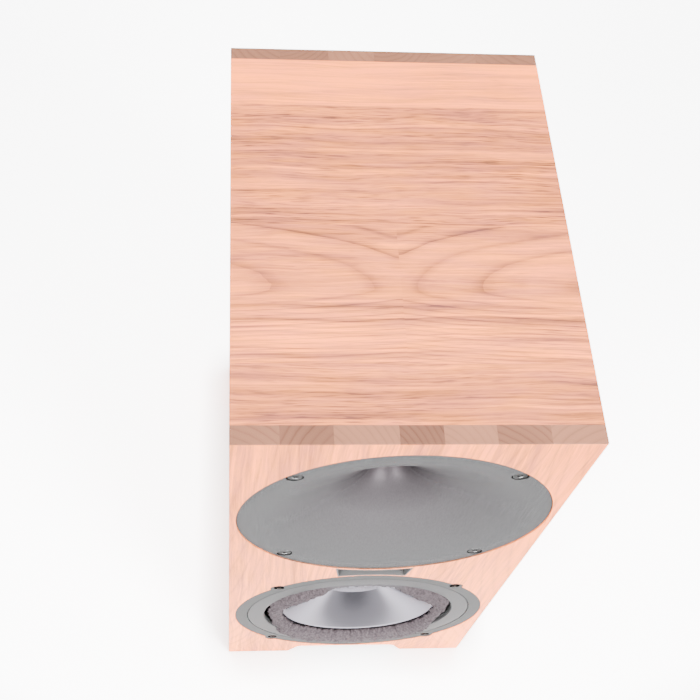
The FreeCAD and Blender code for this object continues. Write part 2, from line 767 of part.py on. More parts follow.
# ---- terminal cup ----------------------------------------------------------
def cup_outline(grow, y0, y1):
    """Round-cornered block round the cup's mouth."""
    solid = block(-cup_w / 2 - grow, cup_w / 2 + grow, y0, y1, cup_z - cup_h / 2 - grow, cup_z + cup_h / 2 + grow)
    return soften(solid, cup_corner_r, lambda c, e: abs(e.Length - (y1 - y0)) < 0.01 and abs(abs(c.x) - cup_w / 2 - grow) < 0.1)


def cup_spots():
    dx = cup_w / 2 + cup_rim / 2
    dz = cup_h / 2 + cup_rim / 2
    return [(sx * (dx - 1), cup_z + sz * (dz - 1)) for sx in (-1, 1) for sz in (-1, 1)]


cup_floor_y = rear_y - cup_deep
post_x = [-post_pitch / 2, post_pitch / 2]


def terminal_cup():
    shell = fuse(cup_outline(cup_rim, rear_y - cup_rim_t, rear_y),
                 cup_outline(-cup_play, cup_floor_y - cup_wall, rear_y))
    shell = shell.cut(cup_outline(-cup_wall - cup_play, cup_floor_y, rear_y + 1))
    for x in post_x:
        shell = shell.cut(rod(stud_r, cup_floor_y - cup_wall - 1, cup_floor_y + 1, x, cup_z))
    for x, z in cup_spots():
        shell = shell.cut(rod(cup_screw_r + 0.1, rear_y - cup_rim_t - 1, rear_y, x, z))
        shell = shell.cut(rod(cup_head_r + 0.3, rear_y - cup_head_t, rear_y + 1, x, z))
    return shell


def cup_screws():
    head_y = rear_y - cup_head_t
    return [fuse(rod(cup_head_r, head_y, rear_y - 0.1, x, z), rod(cup_screw_r, inner_y + 1, head_y + 0.1, x, z))
            for x, z in cup_spots()]


def post_stud(x):
    stud = rod(stud_r, cup_floor_y - cup_wall - stud_tail, cup_floor_y + stud_len, x, cup_z)
    return stud.cut(rod(plug_r, cup_floor_y + stud_len - plug_len, cup_floor_y + stud_len + 1, x, cup_z))


def post_base(x):
    return ring(base_r, stud_r, cup_floor_y, cup_floor_y + base_t, x, cup_z)


def clamp_washer(x):
    y = cup_floor_y + base_t
    return ring(washer_r, stud_r + nut_fit, y, y + washer_t, x, cup_z)


def post_nut(x):
    y = cup_floor_y + base_t + washer_t
    nut = rod(nut_r, y, y + nut_len, x, cup_z)
    nut = soften(nut, nut_edge_r, lambda c, e: abs(e.Length - 2 * math.pi * nut_r) < 0.1)
    for i in range(knurls):
        a = 2 * math.pi * i / knurls
        nut = nut.cut(rod(knurl_r, y + knurl_end, y + nut_len - knurl_end,
                          x + (nut_r + 0.2) * math.cos(a), cup_z + (nut_r + 0.2) * math.sin(a)))
    return nut.cut(rod(stud_r + nut_fit, y - 1, y + nut_len + 1, x, cup_z))


def hex_nut(x):
    y = cup_floor_y - cup_wall - hex_nut_t
    pts = [V(x + hex_nut_r * math.cos(math.radians(60 * i)), y, cup_z + hex_nut_r * math.sin(math.radians(60 * i)))
           for i in range(7)]
    return Part.Face(Part.makePolygon(pts)).extrude(V(0, hex_nut_t, 0)).cut(rod(stud_r, y - 1, y + hex_nut_t + 1, x, cup_z))


# ---- crossover -------------------------------------------------------------
deck_z = floor_z + standoff + board_t          # upper face of the circuit board


def board_corners():
    return [(sx * (board_w / 2 - fix_in), board_y + board_d / 2 + sy * (board_d / 2 - fix_in))
            for sx in (-1, 1) for sy in (-1, 1)]


def upright(ro, ri, z0, z1, x, y):
    solid = Part.makeCylinder(ro, z1 - z0, V(x, y, z0))
    return solid.cut(Part.makeCylinder(ri, z1 - z0 + 2, V(x, y, z0 - 1))) if ri else solid


def crossover_board():
    plate = block(-board_w / 2, board_w / 2, board_y, board_y + board_d, deck_z - board_t, deck_z)
    for x, y in board_corners():
        plate = plate.cut(Part.makeCylinder(fix_hole_r, board_t + 2, V(x, y, deck_z - board_t - 1)))
    return plate


def board_fixings():
    parts = []
    for x, y in board_corners():
        parts.append(upright(fix_post_r, fix_hole_r, floor_z, floor_z + standoff, x, y))
        parts.append(fuse(upright(fix_screw_r, 0, floor_z, deck_z + 0.5, x, y),
                          upright(fix_head_r, 0, deck_z, deck_z + fix_head_t, x, y)))
    return parts


def coil(x, y, ro, ri, h):
    """Air-cored winding between two thin cheeks."""
    z = deck_z
    return fuse(upright(ro, ri, z, z + cheek_t, x, y), upright(ro - 1.5, ri, z + 1, z + h - 1, x, y),
                upright(ro, ri, z + h - cheek_t, z + h, x, y))


def capacitor(x, y, r, length):
    """Film capacitor lying on the board, with its two leads bent down."""
    can = Part.makeCylinder(r, length, V(x - length / 2, y, deck_z + r), V(1, 0, 0))
    bits = []
    for s in (-1, 1):
        end = x + s * length / 2
        x0, x1 = sorted((end, end + s * 3.6))
        bits.append(upright(lead_r, 0, deck_z, deck_z + r, end + s * 3, y))
        bits.append(block(x0, x1, y - lead_r, y + lead_r, deck_z + r - lead_r, deck_z + r + lead_r))
    return fuse(can, *bits)


def resistor(x, y):
    return block(x - resistor_len / 2, x + resistor_len / 2, y - resistor_w / 2, y + resistor_w / 2,
                 deck_z, deck_z + resistor_w)


# ---- wires -----------------------------------------------------------------
def wire(points, r=wire_r):
    """Round wire along straight runs joined by arcs as large as the runs allow."""
    p = [V(*q) for q in points]
    edges = []
    start = p[0]
    for a, b, c in zip(p, p[1:], p[2:]):
        u = (a - b).normalize()
        v = (c - b).normalize()
        short = min((a - b).Length, (c - b).Length) * 0.45
        t_in = b + u * short
        t_out = b + v * short
        half_turn = (math.pi - u.getAngle(v)) / 2
        radius = short / math.tan(half_turn)
        centre = b + (u + v).normalize() * (radius / math.cos(half_turn))
        middle = centre + (b - centre).normalize() * radius
        edges.append(Part.makeLine(start, t_in))
        edges.append(Part.Arc(t_in, middle, t_out).toShape())
        start = t_out
    edges.append(Part.makeLine(start, p[-1]))
    path = Part.Wire(edges)
    circle = Part.Wire(Part.makeCircle(r, p[0], (p[1] - p[0])))
    return path.makePipeShell([circle], True, False)


def input_wires():
    y0 = cup_floor_y - cup_wall - stud_tail
    pair = []
    for x in post_x:
        pair.append(wire([(x, y0, cup_z), (x, y0 - 14, cup_z), (x * 1.3, y0 - 22, cup_z - 18),
                          (x * 1.5, y0 - 16, cup_z - 38), (x * 1.5, y0 - 16, deck_z)]))
    return pair


def woofer_wires():
    y0 = motor_y + tag_len
    y1 = board_y + 5
    pair = []
    for x in tag_x:
        pair.append(wire([(x, y0, tag_z), (x, y0 + 14, tag_z), (x + 2, y0 + 36, tag_z + 5),
                          (x + 5, y0 + 60, tag_z - 22), (x + 8, y0 + 82, tag_z - 64),
                          (x + 11, y0 + 104, tag_z - 104), (x + 14, y1 - 16, deck_z + 42),
                          (x + 14, y1, deck_z + 20), (x + 14, y1, deck_z)]))
    return pair


drv_tag = 5.0
drv_tag_x = [-7.0, 7.0]


def driver_wires():
    y0 = drv_top_y + 5
    y1 = board_y + 26
    z1 = horn_z - drv_r - drv_tag
    pair = []
    for x in drv_tag_x:
        pair.append(wire([(x - 30, y1, deck_z), (x - 30, y1, deck_z + 30), (x - 26, y1 - 20, deck_z + 92),
                          (x - 22, y1 - 42, deck_z + 154), (x - 18, y1 - 62, deck_z + 212),
                          (x - 12, y1 - 82, deck_z + 266), (x - 4, y0 + 14, z1 - 50),
                          (x, y0, z1 - 24), (x, y0, z1)]))
    return pair


def driver_tags():
    """Two spring tags under the driver, where its wires push in."""
    y = drv_top_y + 5
    plate = rod(drv_r, drv_top_y, drv_rear_y, 0, horn_z)
    return [block(x - 2.5, x + 2.5, y - 1.5, y + 1.5, horn_z - drv_r - drv_tag, horn_z - drv_r + 3).cut(plate)
            for x in drv_tag_x]


# ---- write every node ------------------------------------------------------
save("front_baffle", front_baffle())
save("back_panel", back_panel())
save("top_panel", top_panel())
save("left_side_panel", side_panel(-1))
save("right_side_panel", side_panel(1))
save("bottom_panel", bottom_panel())
save("window_brace", window_brace())
save("corner_cleats", *corner_cleats())
save("mitre_splines", spline_key(-1), spline_key(1))
save("damping_felt", *damping_felt())
save("port_duct", slot_prism(0, face_y, face_y + duct_len).cut(slot_prism(slot_wall, face_y - 1, face_y + duct_len + 1)))

save("horn", horn())
save("horn_screws", *[sunk_screw(x, z, horn_sink_y, m6_head_r, m6_head_h, m6_r, horn_flange_t + thread_len)
                      for x, z in horn_spots])
save("horn_inserts", *inserts(horn_spots, horn_ledge_y, baffle_y))
save("driver_gasket", driver_gasket())
save("driver_pole", driver_pole())
save("phase_plug", phase_plug())
save("driver_magnet", ring(drv_magnet_r, drv_magnet_ri, drv_plate_y, drv_top_y, 0, horn_z))
save("driver_top_plate", ring(drv_r, drv_gap_r, drv_top_y, drv_rear_y, 0, horn_z))
save("driver_tags", *driver_tags())
save("dome", dome())
save("dome_coil", dome_coil())
save("dome_suspension", dome_suspension())
save("dome_frame", dome_frame())
save("driver_cover", driver_cover())
save("driver_cover_screws", *cover_screws())
save("driver_bolts", *driver_bolts())

save("woofer_basket", fuse(woofer_basket(), spider_ledge()))
save("woofer_gasket", woofer_gasket())
save("woofer_surround", woofer_surround())
save("woofer_cone", woofer_cone())
save("woofer_dust_cap", dust_cap())
save("woofer_voice_coil", *woofer_coil())
save("woofer_spider", woofer_spider())
top_plate, magnet, yoke = woofer_motor()
save("woofer_top_plate", top_plate)
save("woofer_magnet", magnet)
save("woofer_yoke", yoke)
save("woofer_terminals", *woofer_terminals())
save("woofer_screws", *[sunk_screw(x, z, woof_y, m5_head_r, m5_head_h, m5_r, woof_flange_t + thread_len)
                        for x, z in woof_spots])
save("woofer_inserts", *inserts(woof_spots, woof_ledge_y, baffle_y))

save("terminal_cup", terminal_cup())
save("cup_screws", *cup_screws())
save("post_studs", *[post_stud(x) for x in post_x])
save("post_bases", *[post_base(x) for x in post_x])
save("post_hex_nuts", *[hex_nut(x) for x in post_x])
for colour, x in zip(("black", "red"), post_x):
    save(colour + "_clamp_washer", clamp_washer(x))
    save(colour + "_post_nut", post_nut(x))

save("crossover_board", crossover_board())
save("board_fixings", *board_fixings())
save("woofer_inductor", coil(-46, board_y + 58, 27, 12, 26))
save("tweeter_inductor", coil(46, board_y + 66, 17, 7, 16))
save("capacitors", capacitor(36, board_y + 22, 11, 44), capacitor(-6, board_y + 88, 6, 30))
save("resistors", resistor(-36, board_y + 12), resistor(42, board_y + 40))
save("input_wires", *input_wires())
save("woofer_wires", *woofer_wires())
save("driver_wires", *driver_wires())
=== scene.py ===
# %% [markdown]
# # A wooden two-way speaker
#
# The object is a stand-mounted loudspeaker. Its cabinet is glued up from solid walnut staves. A wide metal
# horn sits over a woofer with a gathered cloth surround, and a slot between the two circles lets the box
# breathe. The working parts come from a mechanical model, which is loaded first and never moved. This file
# gives each part its finish, and rebuilds the parts whose look depends on fine shape: horn, cone, cloth,
# gasket and screws.

# %% Start from an empty scene and load the mechanical model
import json
import math

import bmesh
import bpy
from mathutils import Matrix, Vector, noise

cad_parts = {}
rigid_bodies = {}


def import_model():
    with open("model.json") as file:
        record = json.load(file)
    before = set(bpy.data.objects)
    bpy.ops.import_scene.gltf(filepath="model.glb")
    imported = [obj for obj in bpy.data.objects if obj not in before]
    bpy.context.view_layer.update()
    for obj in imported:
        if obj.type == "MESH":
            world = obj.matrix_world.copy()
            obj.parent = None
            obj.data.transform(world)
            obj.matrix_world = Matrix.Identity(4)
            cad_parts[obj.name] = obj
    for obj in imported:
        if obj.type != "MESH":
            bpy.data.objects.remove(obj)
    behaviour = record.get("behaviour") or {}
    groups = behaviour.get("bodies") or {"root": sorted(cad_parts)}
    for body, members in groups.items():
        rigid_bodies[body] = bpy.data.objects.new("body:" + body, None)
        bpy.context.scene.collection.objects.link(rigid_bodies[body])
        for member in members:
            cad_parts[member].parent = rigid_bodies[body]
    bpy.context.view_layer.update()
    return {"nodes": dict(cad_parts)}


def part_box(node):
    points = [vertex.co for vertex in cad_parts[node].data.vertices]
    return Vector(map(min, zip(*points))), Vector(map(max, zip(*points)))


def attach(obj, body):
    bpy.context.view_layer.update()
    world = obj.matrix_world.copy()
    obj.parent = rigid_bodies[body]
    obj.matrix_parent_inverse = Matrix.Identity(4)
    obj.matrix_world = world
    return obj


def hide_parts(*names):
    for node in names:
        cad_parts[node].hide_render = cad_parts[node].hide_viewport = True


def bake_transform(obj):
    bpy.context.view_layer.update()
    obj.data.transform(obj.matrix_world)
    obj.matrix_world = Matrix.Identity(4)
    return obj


for leftover in list(bpy.data.objects):
    bpy.data.objects.remove(leftover)
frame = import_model()
MM = 0.001

# %% [markdown]
# ## Where things are
#
# The main places are read from the loaded nodes. The edges of the staves and the radii of the cloth are
# given further down, for this size of speaker.
# The front board gives the width, the height and the front face; the horn and the gasket give the two
# circles.

# %% Read the places
board_low, board_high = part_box("front_baffle")
half_width, face_y, top_z = board_high.x, board_low.y, board_high.z
rear_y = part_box("back_panel")[1].y


def round_place(node):
    """Centre height, radius, front and rear of a node that is turned about a front-to-back axis."""
    low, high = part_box(node)
    return (low.z + high.z) / 2, (high.x - low.x) / 2, low.y, high.y


horn_z, horn_r, horn_y, horn_rear_y = round_place("horn")
woofer_z, gasket_r, gasket_y, gasket_rear_y = round_place("woofer_gasket")
print("horn radius", round(horn_r, 4), "woofer gasket radius", round(gasket_r, 4))

# %% [markdown]
# ## Camera
#
# The speaker is looked down on from in front and a little to its left, steeply enough that the top board
# fills most of the view. The camera is turned by three plain angles, worked into one matrix. Its lean keeps
# the left edges of the cabinet upright, and a small lens shift moves the speaker sideways.

# %% Place the camera
EYE_LEFT, EYE_FRONT, EYE_ABOVE = 0.139, 0.3157, 0.690      # from the middle, the front face and the top
TURN_RIGHT, LOOK_DOWN, LEAN = map(math.radians, (8.02, 59.97, 7.17))
LENS, SIDE_SHIFT = 53.92, 0.0655

forward = Vector((math.sin(TURN_RIGHT) * math.cos(LOOK_DOWN), math.cos(TURN_RIGHT) * math.cos(LOOK_DOWN),
                  -math.sin(LOOK_DOWN)))
level = Vector((math.cos(TURN_RIGHT), -math.sin(TURN_RIGHT), 0))
upward = level.cross(forward)
right = level * math.cos(LEAN) + upward * math.sin(LEAN)
up = upward * math.cos(LEAN) - level * math.sin(LEAN)
camera = bpy.data.objects.new("camera", bpy.data.cameras.new("camera"))
bpy.context.scene.collection.objects.link(camera)
turn = Matrix((right, up, -forward)).transposed().to_4x4()
camera.matrix_world = Matrix.Translation((-EYE_LEFT, face_y - EYE_FRONT, top_z + EYE_ABOVE)) @ turn
camera.data.lens = LENS
camera.data.shift_x = SIDE_SHIFT
camera.data.clip_start = 0.05
bpy.context.scene.camera = camera
print("camera at", [round(x, 3) for x in camera.matrix_world.translation])

# %% [markdown]
# ## Light
#
# The light is that of a white studio table. The table itself glows, so the front board and the metal are
# lit from below as well, and the satin cone mirrors the bright table at its two sides and the dimmer floor
# beyond in its middle. A wide lamp hangs over the top board, and two narrow beams come from the front.

# %% Make the lights
WORLD_LIGHT = 1.3


def soft_lamp(name, place, aim, size, power, spread=180):
    """A square area lamp at a place, turned to its aim. Its light stays within the spread, in degrees."""
    lamp = bpy.data.lights.new(name, "AREA")
    lamp.size = size
    lamp.energy = power
    lamp_object = bpy.data.objects.new(name, lamp)
    bpy.context.scene.collection.objects.link(lamp_object)
    lamp.spread = math.radians(spread)
    lamp_object.location = place
    lamp_object.rotation_euler = (Vector(aim) - Vector(place)).to_track_quat("-Z", "Y").to_euler()
    return lamp_object


world = bpy.data.worlds.new("studio")
bpy.context.scene.world = world
world.use_nodes = True
sky = world.node_tree.nodes["Background"]
sky.inputs["Color"].default_value = (1, 1, 1, 1)
sky.inputs["Strength"].default_value = WORLD_LIGHT
front_middle = (0, face_y, top_z / 2)
LAMP_SIDE, LAMP_FRONT, LAMP_HEIGHT = 1.3, 1.5, 1.5
soft_lamp("top_lamp", (0.1, 0.1, 2.9), (0, 0, top_z), size=2.6, power=190)
for name, side, power in (("left_lamp", -LAMP_SIDE, 21), ("right_lamp", LAMP_SIDE, 27)):
    soft_lamp(name, (side, face_y - LAMP_FRONT, LAMP_HEIGHT), front_middle, size=1.2, power=power, spread=40)

# %% [markdown]
# ## A short way to write finishes
#
# A finish is a tree of shader nodes. This small helper keeps each call to one line: it adds a node, sets
# its sockets by name and joins whatever is passed as another node's output. Every finish starts from the
# object's own coordinates, which here are metres in the speaker's frame, so grain and grit have a real
# size.

# %% The helper for finishes
class Finish:
    """One material and short calls that add nodes to it."""

    def __init__(self, name, **sockets):
        self.material = bpy.data.materials.new(name)
        self.material.use_nodes = True
        self.tree = self.material.node_tree
        self.shader = self.tree.nodes["Principled BSDF"]
        self.set(self.shader, sockets)
        self.place = self.add("ShaderNodeTexCoord").outputs["Object"]

    def set(self, made, sockets):
        for name, value in sockets.items():
            key = int(name[1:]) if name[1:].isdigit() else name.replace("_", " ")
            socket = made.inputs[key]
            if isinstance(value, bpy.types.NodeSocket):
                self.tree.links.new(value, socket)
            else:
                socket.default_value = value

    def add(self, kind, settings=None, **sockets):
        made = self.tree.nodes.new(kind)
        for name, value in (settings or {}).items():
            setattr(made, name, value)
        self.set(made, sockets)
        return made

    def sum(self, operation, *values):
        """A maths node; its inputs are numbered i0, i1 and so on."""
        inputs = {f"i{number}": value for number, value in enumerate(values)}
        made = self.add("ShaderNodeMath", {"operation": operation}, **inputs)
        return made.outputs[0]

    def stretch(self, place, scale):
        """The place multiplied by one number, or by three, along the axes."""
        made = self.add("ShaderNodeVectorMath", {"operation": "MULTIPLY"}, i0=place, i1=scale)
        return made.outputs[0]

    def grain(self, place, scale=1.0, detail=2.0, roughness=0.5):
        made = self.add("ShaderNodeTexNoise", None, Vector=place, Scale=scale, Detail=detail,
                        Roughness=roughness)
        return made.outputs["Fac"]

    def ramp(self, value, stops, kind="LINEAR"):
        """A colour ramp from (position, colour) pairs. A single number stands for a grey."""
        made = self.add("ShaderNodeValToRGB", None, Fac=value)
        made.color_ramp.interpolation = kind
        elements = made.color_ramp.elements
        while len(elements) < len(stops):
            elements.new(0.5)
        for element, (position, colour) in zip(elements, stops):
            element.position = position
            element.color = colour if isinstance(colour, tuple) else (colour, colour, colour, 1)
        return made.outputs["Color"], made.outputs["Alpha"]

    def mix(self, share, first, second, kind="MIX"):
        made = self.add("ShaderNodeMix", {"data_type": "RGBA", "blend_type": kind},
                        i0=share, i6=first, i7=second)
        return made.outputs[2]

    def relief(self, height, depth, strength=1.0):
        """Bump of that depth in metres on the shader's normal."""
        made = self.add("ShaderNodeBump", None, Height=height, Distance=depth, Strength=strength)
        self.set(self.shader, {"Normal": made.outputs["Normal"]})


def grey(value, alpha=1.0):
    return (value, value, value, alpha)


finishes = {}

# %% [markdown]
# ## Walnut
#
# Wood is solid through and through, so the finish is a solid pattern and not a picture on the surface. Each
# stave is cut from a log: its growth rings are circles about a pith that lies somewhere beside or below the
# stave. Where the log bows, the rings come to the surface as nested arches, the cathedral figure; elsewhere
# they give straight stripes, and on the end grain they give arcs. Short dark dashes, long stripes and fine
# fibres run along the length. Staves differ in all of this, and every difference is kept in three ramps
# with hard steps that are read across the board.

# %% The fields of a stave
STAVE_FIELDS = ("edge", "pith", "under", "seed", "tone", "gap", "bow", "bow_at", "rings",
                "far_bow", "phase", "dashes", "stripes")
PITH_SPAN, GAP_SPAN, BOW_SPAN = 0.5, 0.05, 0.5
PALE, MID, DEEP, DARK = ((0.84, 0.190, 0.043, 1), (0.47, 0.128, 0.046, 1), (0.26, 0.078, 0.035, 1),
                         (0.11, 0.040, 0.026, 1))
END_PALE, END_DARK = (0.185, 0.080, 0.047, 1), (0.050, 0.022, 0.015, 1)
COOL, WARM = (0.96, 0.96, 1.16, 1), (1.04, 1.05, 0.80, 1)
WOOD_SHINE = 0.06


def signed(value, span):
    """Fits a number from -span to span into a ramp's 0 to 1."""
    return value / span / 2 + 0.5


def stave_ramps(finish, width, staves):
    """Reads the stave under a point. Gives one shader value for each field but the first."""
    rows = [dict(zip(STAVE_FIELDS, stave)) for stave in staves]
    first, last = rows[0]["edge"], rows[-1]["edge"]
    share = finish.sum("DIVIDE", finish.sum("SUBTRACT", width, first), last - first)
    steps = [(row["edge"] - first) / (last - first) for row in rows[:-1]]
    packed = [[(signed(row["pith"], PITH_SPAN), row["under"], row["seed"], row["tone"]),
               (row["gap"] / GAP_SPAN, row["bow"] / BOW_SPAN, signed(row["bow_at"], PITH_SPAN), row["rings"]),
               (row["far_bow"] / BOW_SPAN, row["phase"], row["dashes"], row["stripes"])] for row in rows[1:]]
    values = []
    for number in range(3):
        stops = [(step, row[number]) for step, row in zip(steps, packed)]
        colour, alpha = finish.ramp(share, stops, "CONSTANT")
        parts = finish.add("ShaderNodeSeparateColor", None, Color=colour)
        values += [*parts.outputs, alpha]

    def spread(value, span):
        return finish.sum("MULTIPLY", finish.sum("SUBTRACT", value, 0.5), span * 2)

    values[0], values[6] = spread(values[0], PITH_SPAN), spread(values[6], PITH_SPAN)
    values[4] = finish.sum("MULTIPLY", values[4], GAP_SPAN)
    values[5], values[8] = (finish.sum("MULTIPLY", values[n], BOW_SPAN) for n in (5, 8))
    return dict(zip(STAVE_FIELDS[1:], values))


# %% The growth rings
WAVER, RIPPLE, CREST = 0.0055, 0.0014, 0.009


def growth_rings(finish, stave, length, width, depth, moved, squeeze):
    """Dark late wood of the rings, from 0 to 1."""
    waver = finish.sum("SUBTRACT", finish.grain(finish.stretch(moved, (5, 17, 17)), 1, 2), 0.5)
    ripple = finish.sum("SUBTRACT", finish.grain(finish.stretch(moved, (34, 120, 120)), 1, 2), 0.5)
    off_pith = finish.sum("SUBTRACT", width, stave["pith"])
    off_pith = finish.sum("MAXIMUM", off_pith, finish.sum("MULTIPLY", off_pith, -squeeze))
    under = finish.sum("ADD", depth, stave["under"])
    reach = finish.sum("SQRT", finish.sum("ADD", finish.sum("MULTIPLY", off_pith, off_pith),
                                          finish.sum("MULTIPLY", under, under)))
    off_bow = finish.sum("SUBTRACT", length, stave["bow_at"])
    is_far = finish.sum("GREATER_THAN", off_bow, 0.0)
    bow = finish.sum("ADD", finish.sum("MULTIPLY", stave["bow"], finish.sum("SUBTRACT", 1.0, is_far)),
                     finish.sum("MULTIPLY", stave["far_bow"], is_far))
    run = finish.sum("SQRT", finish.sum("ADD", finish.sum("MULTIPLY", off_bow, off_bow), CREST * CREST))
    reach = finish.sum("SUBTRACT", reach, finish.sum("MULTIPLY", finish.sum("SQRT", run), bow))
    reach = finish.sum("ADD", reach, finish.sum("MULTIPLY", waver, WAVER))
    reach = finish.sum("ADD", reach, finish.sum("MULTIPLY", ripple, RIPPLE))
    turns = finish.sum("ADD", finish.sum("DIVIDE", reach, stave["gap"]), stave["phase"])
    late = finish.ramp(finish.sum("FRACT", turns), [
        (0.0, 1.0), (0.07, 0.70), (0.16, 0.30), (0.45, 0.0), (0.82, 0.06), (1.0, 0.60)])[0]
    year = finish.add("ShaderNodeTexWhiteNoise", {"noise_dimensions": "2D"}, Vector=finish.add(
        "ShaderNodeCombineXYZ", None, X=finish.sum("FLOOR", turns), Y=stave["seed"]).outputs[0])
    strength = finish.sum("ADD", finish.sum("MULTIPLY", year.outputs["Value"], 0.6), 0.4)
    return finish.sum("MULTIPLY", finish.sum("MULTIPLY", late, strength), stave["rings"])


# %% The walnut finish
def walnut(name, along, across, inward, start, staves, squeeze=1.0):
    """Finish of one glued board. along, across and inward are the board's axes in the speaker's frame and
    start is the point where they are zero. The staves go across in order, each with the fields of
    STAVE_FIELDS. squeeze sets the rings closer on the near side of a pith."""
    finish = Finish(name, IOR=1.45, Roughness=0.55)
    origin = finish.add("ShaderNodeVectorMath", {"operation": "SUBTRACT"},
                        i0=finish.place, i1=start).outputs[0]
    length, width, depth = (
        finish.add("ShaderNodeVectorMath", {"operation": "DOT_PRODUCT"}, i0=origin, i1=axis).outputs["Value"]
        for axis in (along, across, inward))
    stave = stave_ramps(finish, width, staves)
    seed = finish.sum("MULTIPLY", stave["seed"], 9.0)
    moved = finish.add("ShaderNodeCombineXYZ", None, X=finish.sum("ADD", length, seed),
                       Y=finish.sum("ADD", width, seed), Z=depth).outputs[0]
    rings = growth_rings(finish, stave, length, width, depth, moved, squeeze)

    drift = finish.sum("SUBTRACT", finish.grain(finish.stretch(moved, (9, 22, 22)), 1, 1), 0.5)
    drift = finish.add("ShaderNodeCombineXYZ", None, Y=finish.sum("MULTIPLY", drift, 0.012)).outputs[0]
    flow = finish.add("ShaderNodeVectorMath", {"operation": "ADD"}, i0=moved, i1=drift).outputs[0]
    fibre = finish.grain(finish.stretch(flow, (11, 460, 460)), 1, 4, 0.66)
    stripe = finish.grain(finish.stretch(flow, (2.4, 190, 190)), 1, 3, 0.6)
    band = finish.grain(finish.stretch(flow, (5, 55, 55)), 1, 2, 0.5)
    cloud = finish.grain(finish.stretch(moved, (7, 13, 13)), 1, 2)
    dash = finish.grain(finish.stretch(flow, (44, 900, 900)), 1, 1)
    dash = finish.ramp(dash, [(0.52, 0.0), (0.68, 1.0)])[0]
    dash = finish.sum("MULTIPLY", dash, finish.ramp(band, [(0.36, 0.25), (0.62, 1.0)])[0])
    pores = finish.add("ShaderNodeTexVoronoi", None,
                       Vector=finish.stretch(flow, (90, 1100, 1100)), Scale=1.0)
    pore = finish.ramp(pores.outputs["Distance"], [(0.10, 1.0), (0.34, 0.0)])[0]

    shade = finish.sum("ADD", stave["tone"], finish.sum("MULTIPLY", rings, 0.62))
    for texture, weight in ((fibre, 0.95), (band, 0.46), (cloud, 0.36)):
        swing = finish.sum("SUBTRACT", texture, 0.5)
        shade = finish.sum("ADD", shade, finish.sum("MULTIPLY", swing, weight))
    lines = finish.sum("MULTIPLY", finish.sum("SUBTRACT", stripe, 0.5), stave["stripes"])
    shade = finish.sum("ADD", shade, finish.sum("MULTIPLY", lines, 2.3))
    dash = finish.sum("MULTIPLY", dash, stave["dashes"])
    shade = finish.sum("ADD", shade, finish.sum("MULTIPLY", dash, 0.80))
    shade = finish.sum("ADD", shade, finish.sum("MULTIPLY", pore, 0.10))
    face = finish.ramp(shade, [(0.0, PALE), (0.36, MID), (0.68, DEEP), (1.0, DARK)])[0]
    warmth = finish.grain(finish.stretch(moved, (6, 30, 30)), 3.0, 2)
    warm_share = finish.ramp(warmth, [(0.35, 0.0), (0.65, 1.0)])[0]
    face = finish.mix(warm_share, finish.mix(1.0, face, COOL, "MULTIPLY"),
                      finish.mix(1.0, face, WARM, "MULTIPLY"))
    end_shade = finish.sum("ADD", finish.sum("MULTIPLY", rings, 0.75),
                           finish.sum("MULTIPLY", stave["tone"], 2.2))
    cloud_swing = finish.sum("SUBTRACT", cloud, 0.5)
    end_shade = finish.sum("ADD", end_shade, finish.sum("MULTIPLY", cloud_swing, 0.5))
    ends = finish.ramp(end_shade, [(0.1, END_PALE), (1.1, END_DARK)])[0]
    facing = finish.add("ShaderNodeVectorMath", {"operation": "DOT_PRODUCT"},
                        i0=finish.add("ShaderNodeTexCoord").outputs["Normal"], i1=along).outputs["Value"]
    on_end = finish.ramp(finish.sum("ABSOLUTE", facing), [(0.55, 0.0), (0.75, 1.0)])[0]
    finish.set(finish.shader, {"Base Color": finish.mix(on_end, face, ends),
                               "Roughness": finish.sum("ADD", finish.sum("MULTIPLY", shade, 0.16), 0.46)})
    finish.shader.inputs["Specular IOR Level"].default_value = WOOD_SHINE
    finish.relief(finish.sum("SUBTRACT", finish.sum("MULTIPLY", fibre, 0.5), pore), 0.00012)
    finishes[name] = finish.material
    return finish.material


# %% [markdown]
# ## The boards
#
# The top and the sides are one run of wood that folds over the mitred corners, so the joints between their
# staves meet at the corners. Both ends of the box are closed by boards with upright grain, whose end grain
# shows as a darker strip along the front and back of the top.

# %% Staves of each board and their finish
X, Y, Z = Vector((1, 0, 0)), Vector((0, 1, 0)), Vector((0, 0, 1))
RUN_STAVES = [
    # edge, pith, under, seed, tone, gap, bow, bow_at, rings, far_bow, phase, dashes, stripes
    (-0.200, 0, 0, 0, 0, 0.01, 0, 0, 0, 0, 0, 0, 0),
    (-0.128, -0.330, 0.100, 0.11, 0.48, 0.0070, 0.02, 0.0, 0.25, 0.02, 0.0, 0.55, 0.75),
    (-0.068, -0.060, 0.060, 0.62, 0.27, 0.0115, 0.0735, -0.004, 0.85, 0.09, 0.774, 0.35, 0.90),
    (0.001, -0.060, 0.060, 0.62, 0.30, 0.0115, 0.0735, -0.004, 1.00, 0.09, 0.774, 0.30, 0.30),
    (0.066, -0.190, 0.110, 0.23, 0.40, 0.0054, 0.01, 0.0, 0.25, 0.01, 0.0, 0.65, 0.65),
    (0.131, -0.140, 0.120, 0.81, 0.37, 0.0060, 0.01, 0.0, 0.25, 0.01, 0.0, 0.70, 0.60),
    (0.205, -0.190, 0.050, 0.49, 0.09, 0.0140, 0.03, -0.10, 0.25, 0.03, 0.0, 0.14, 0.25),
]


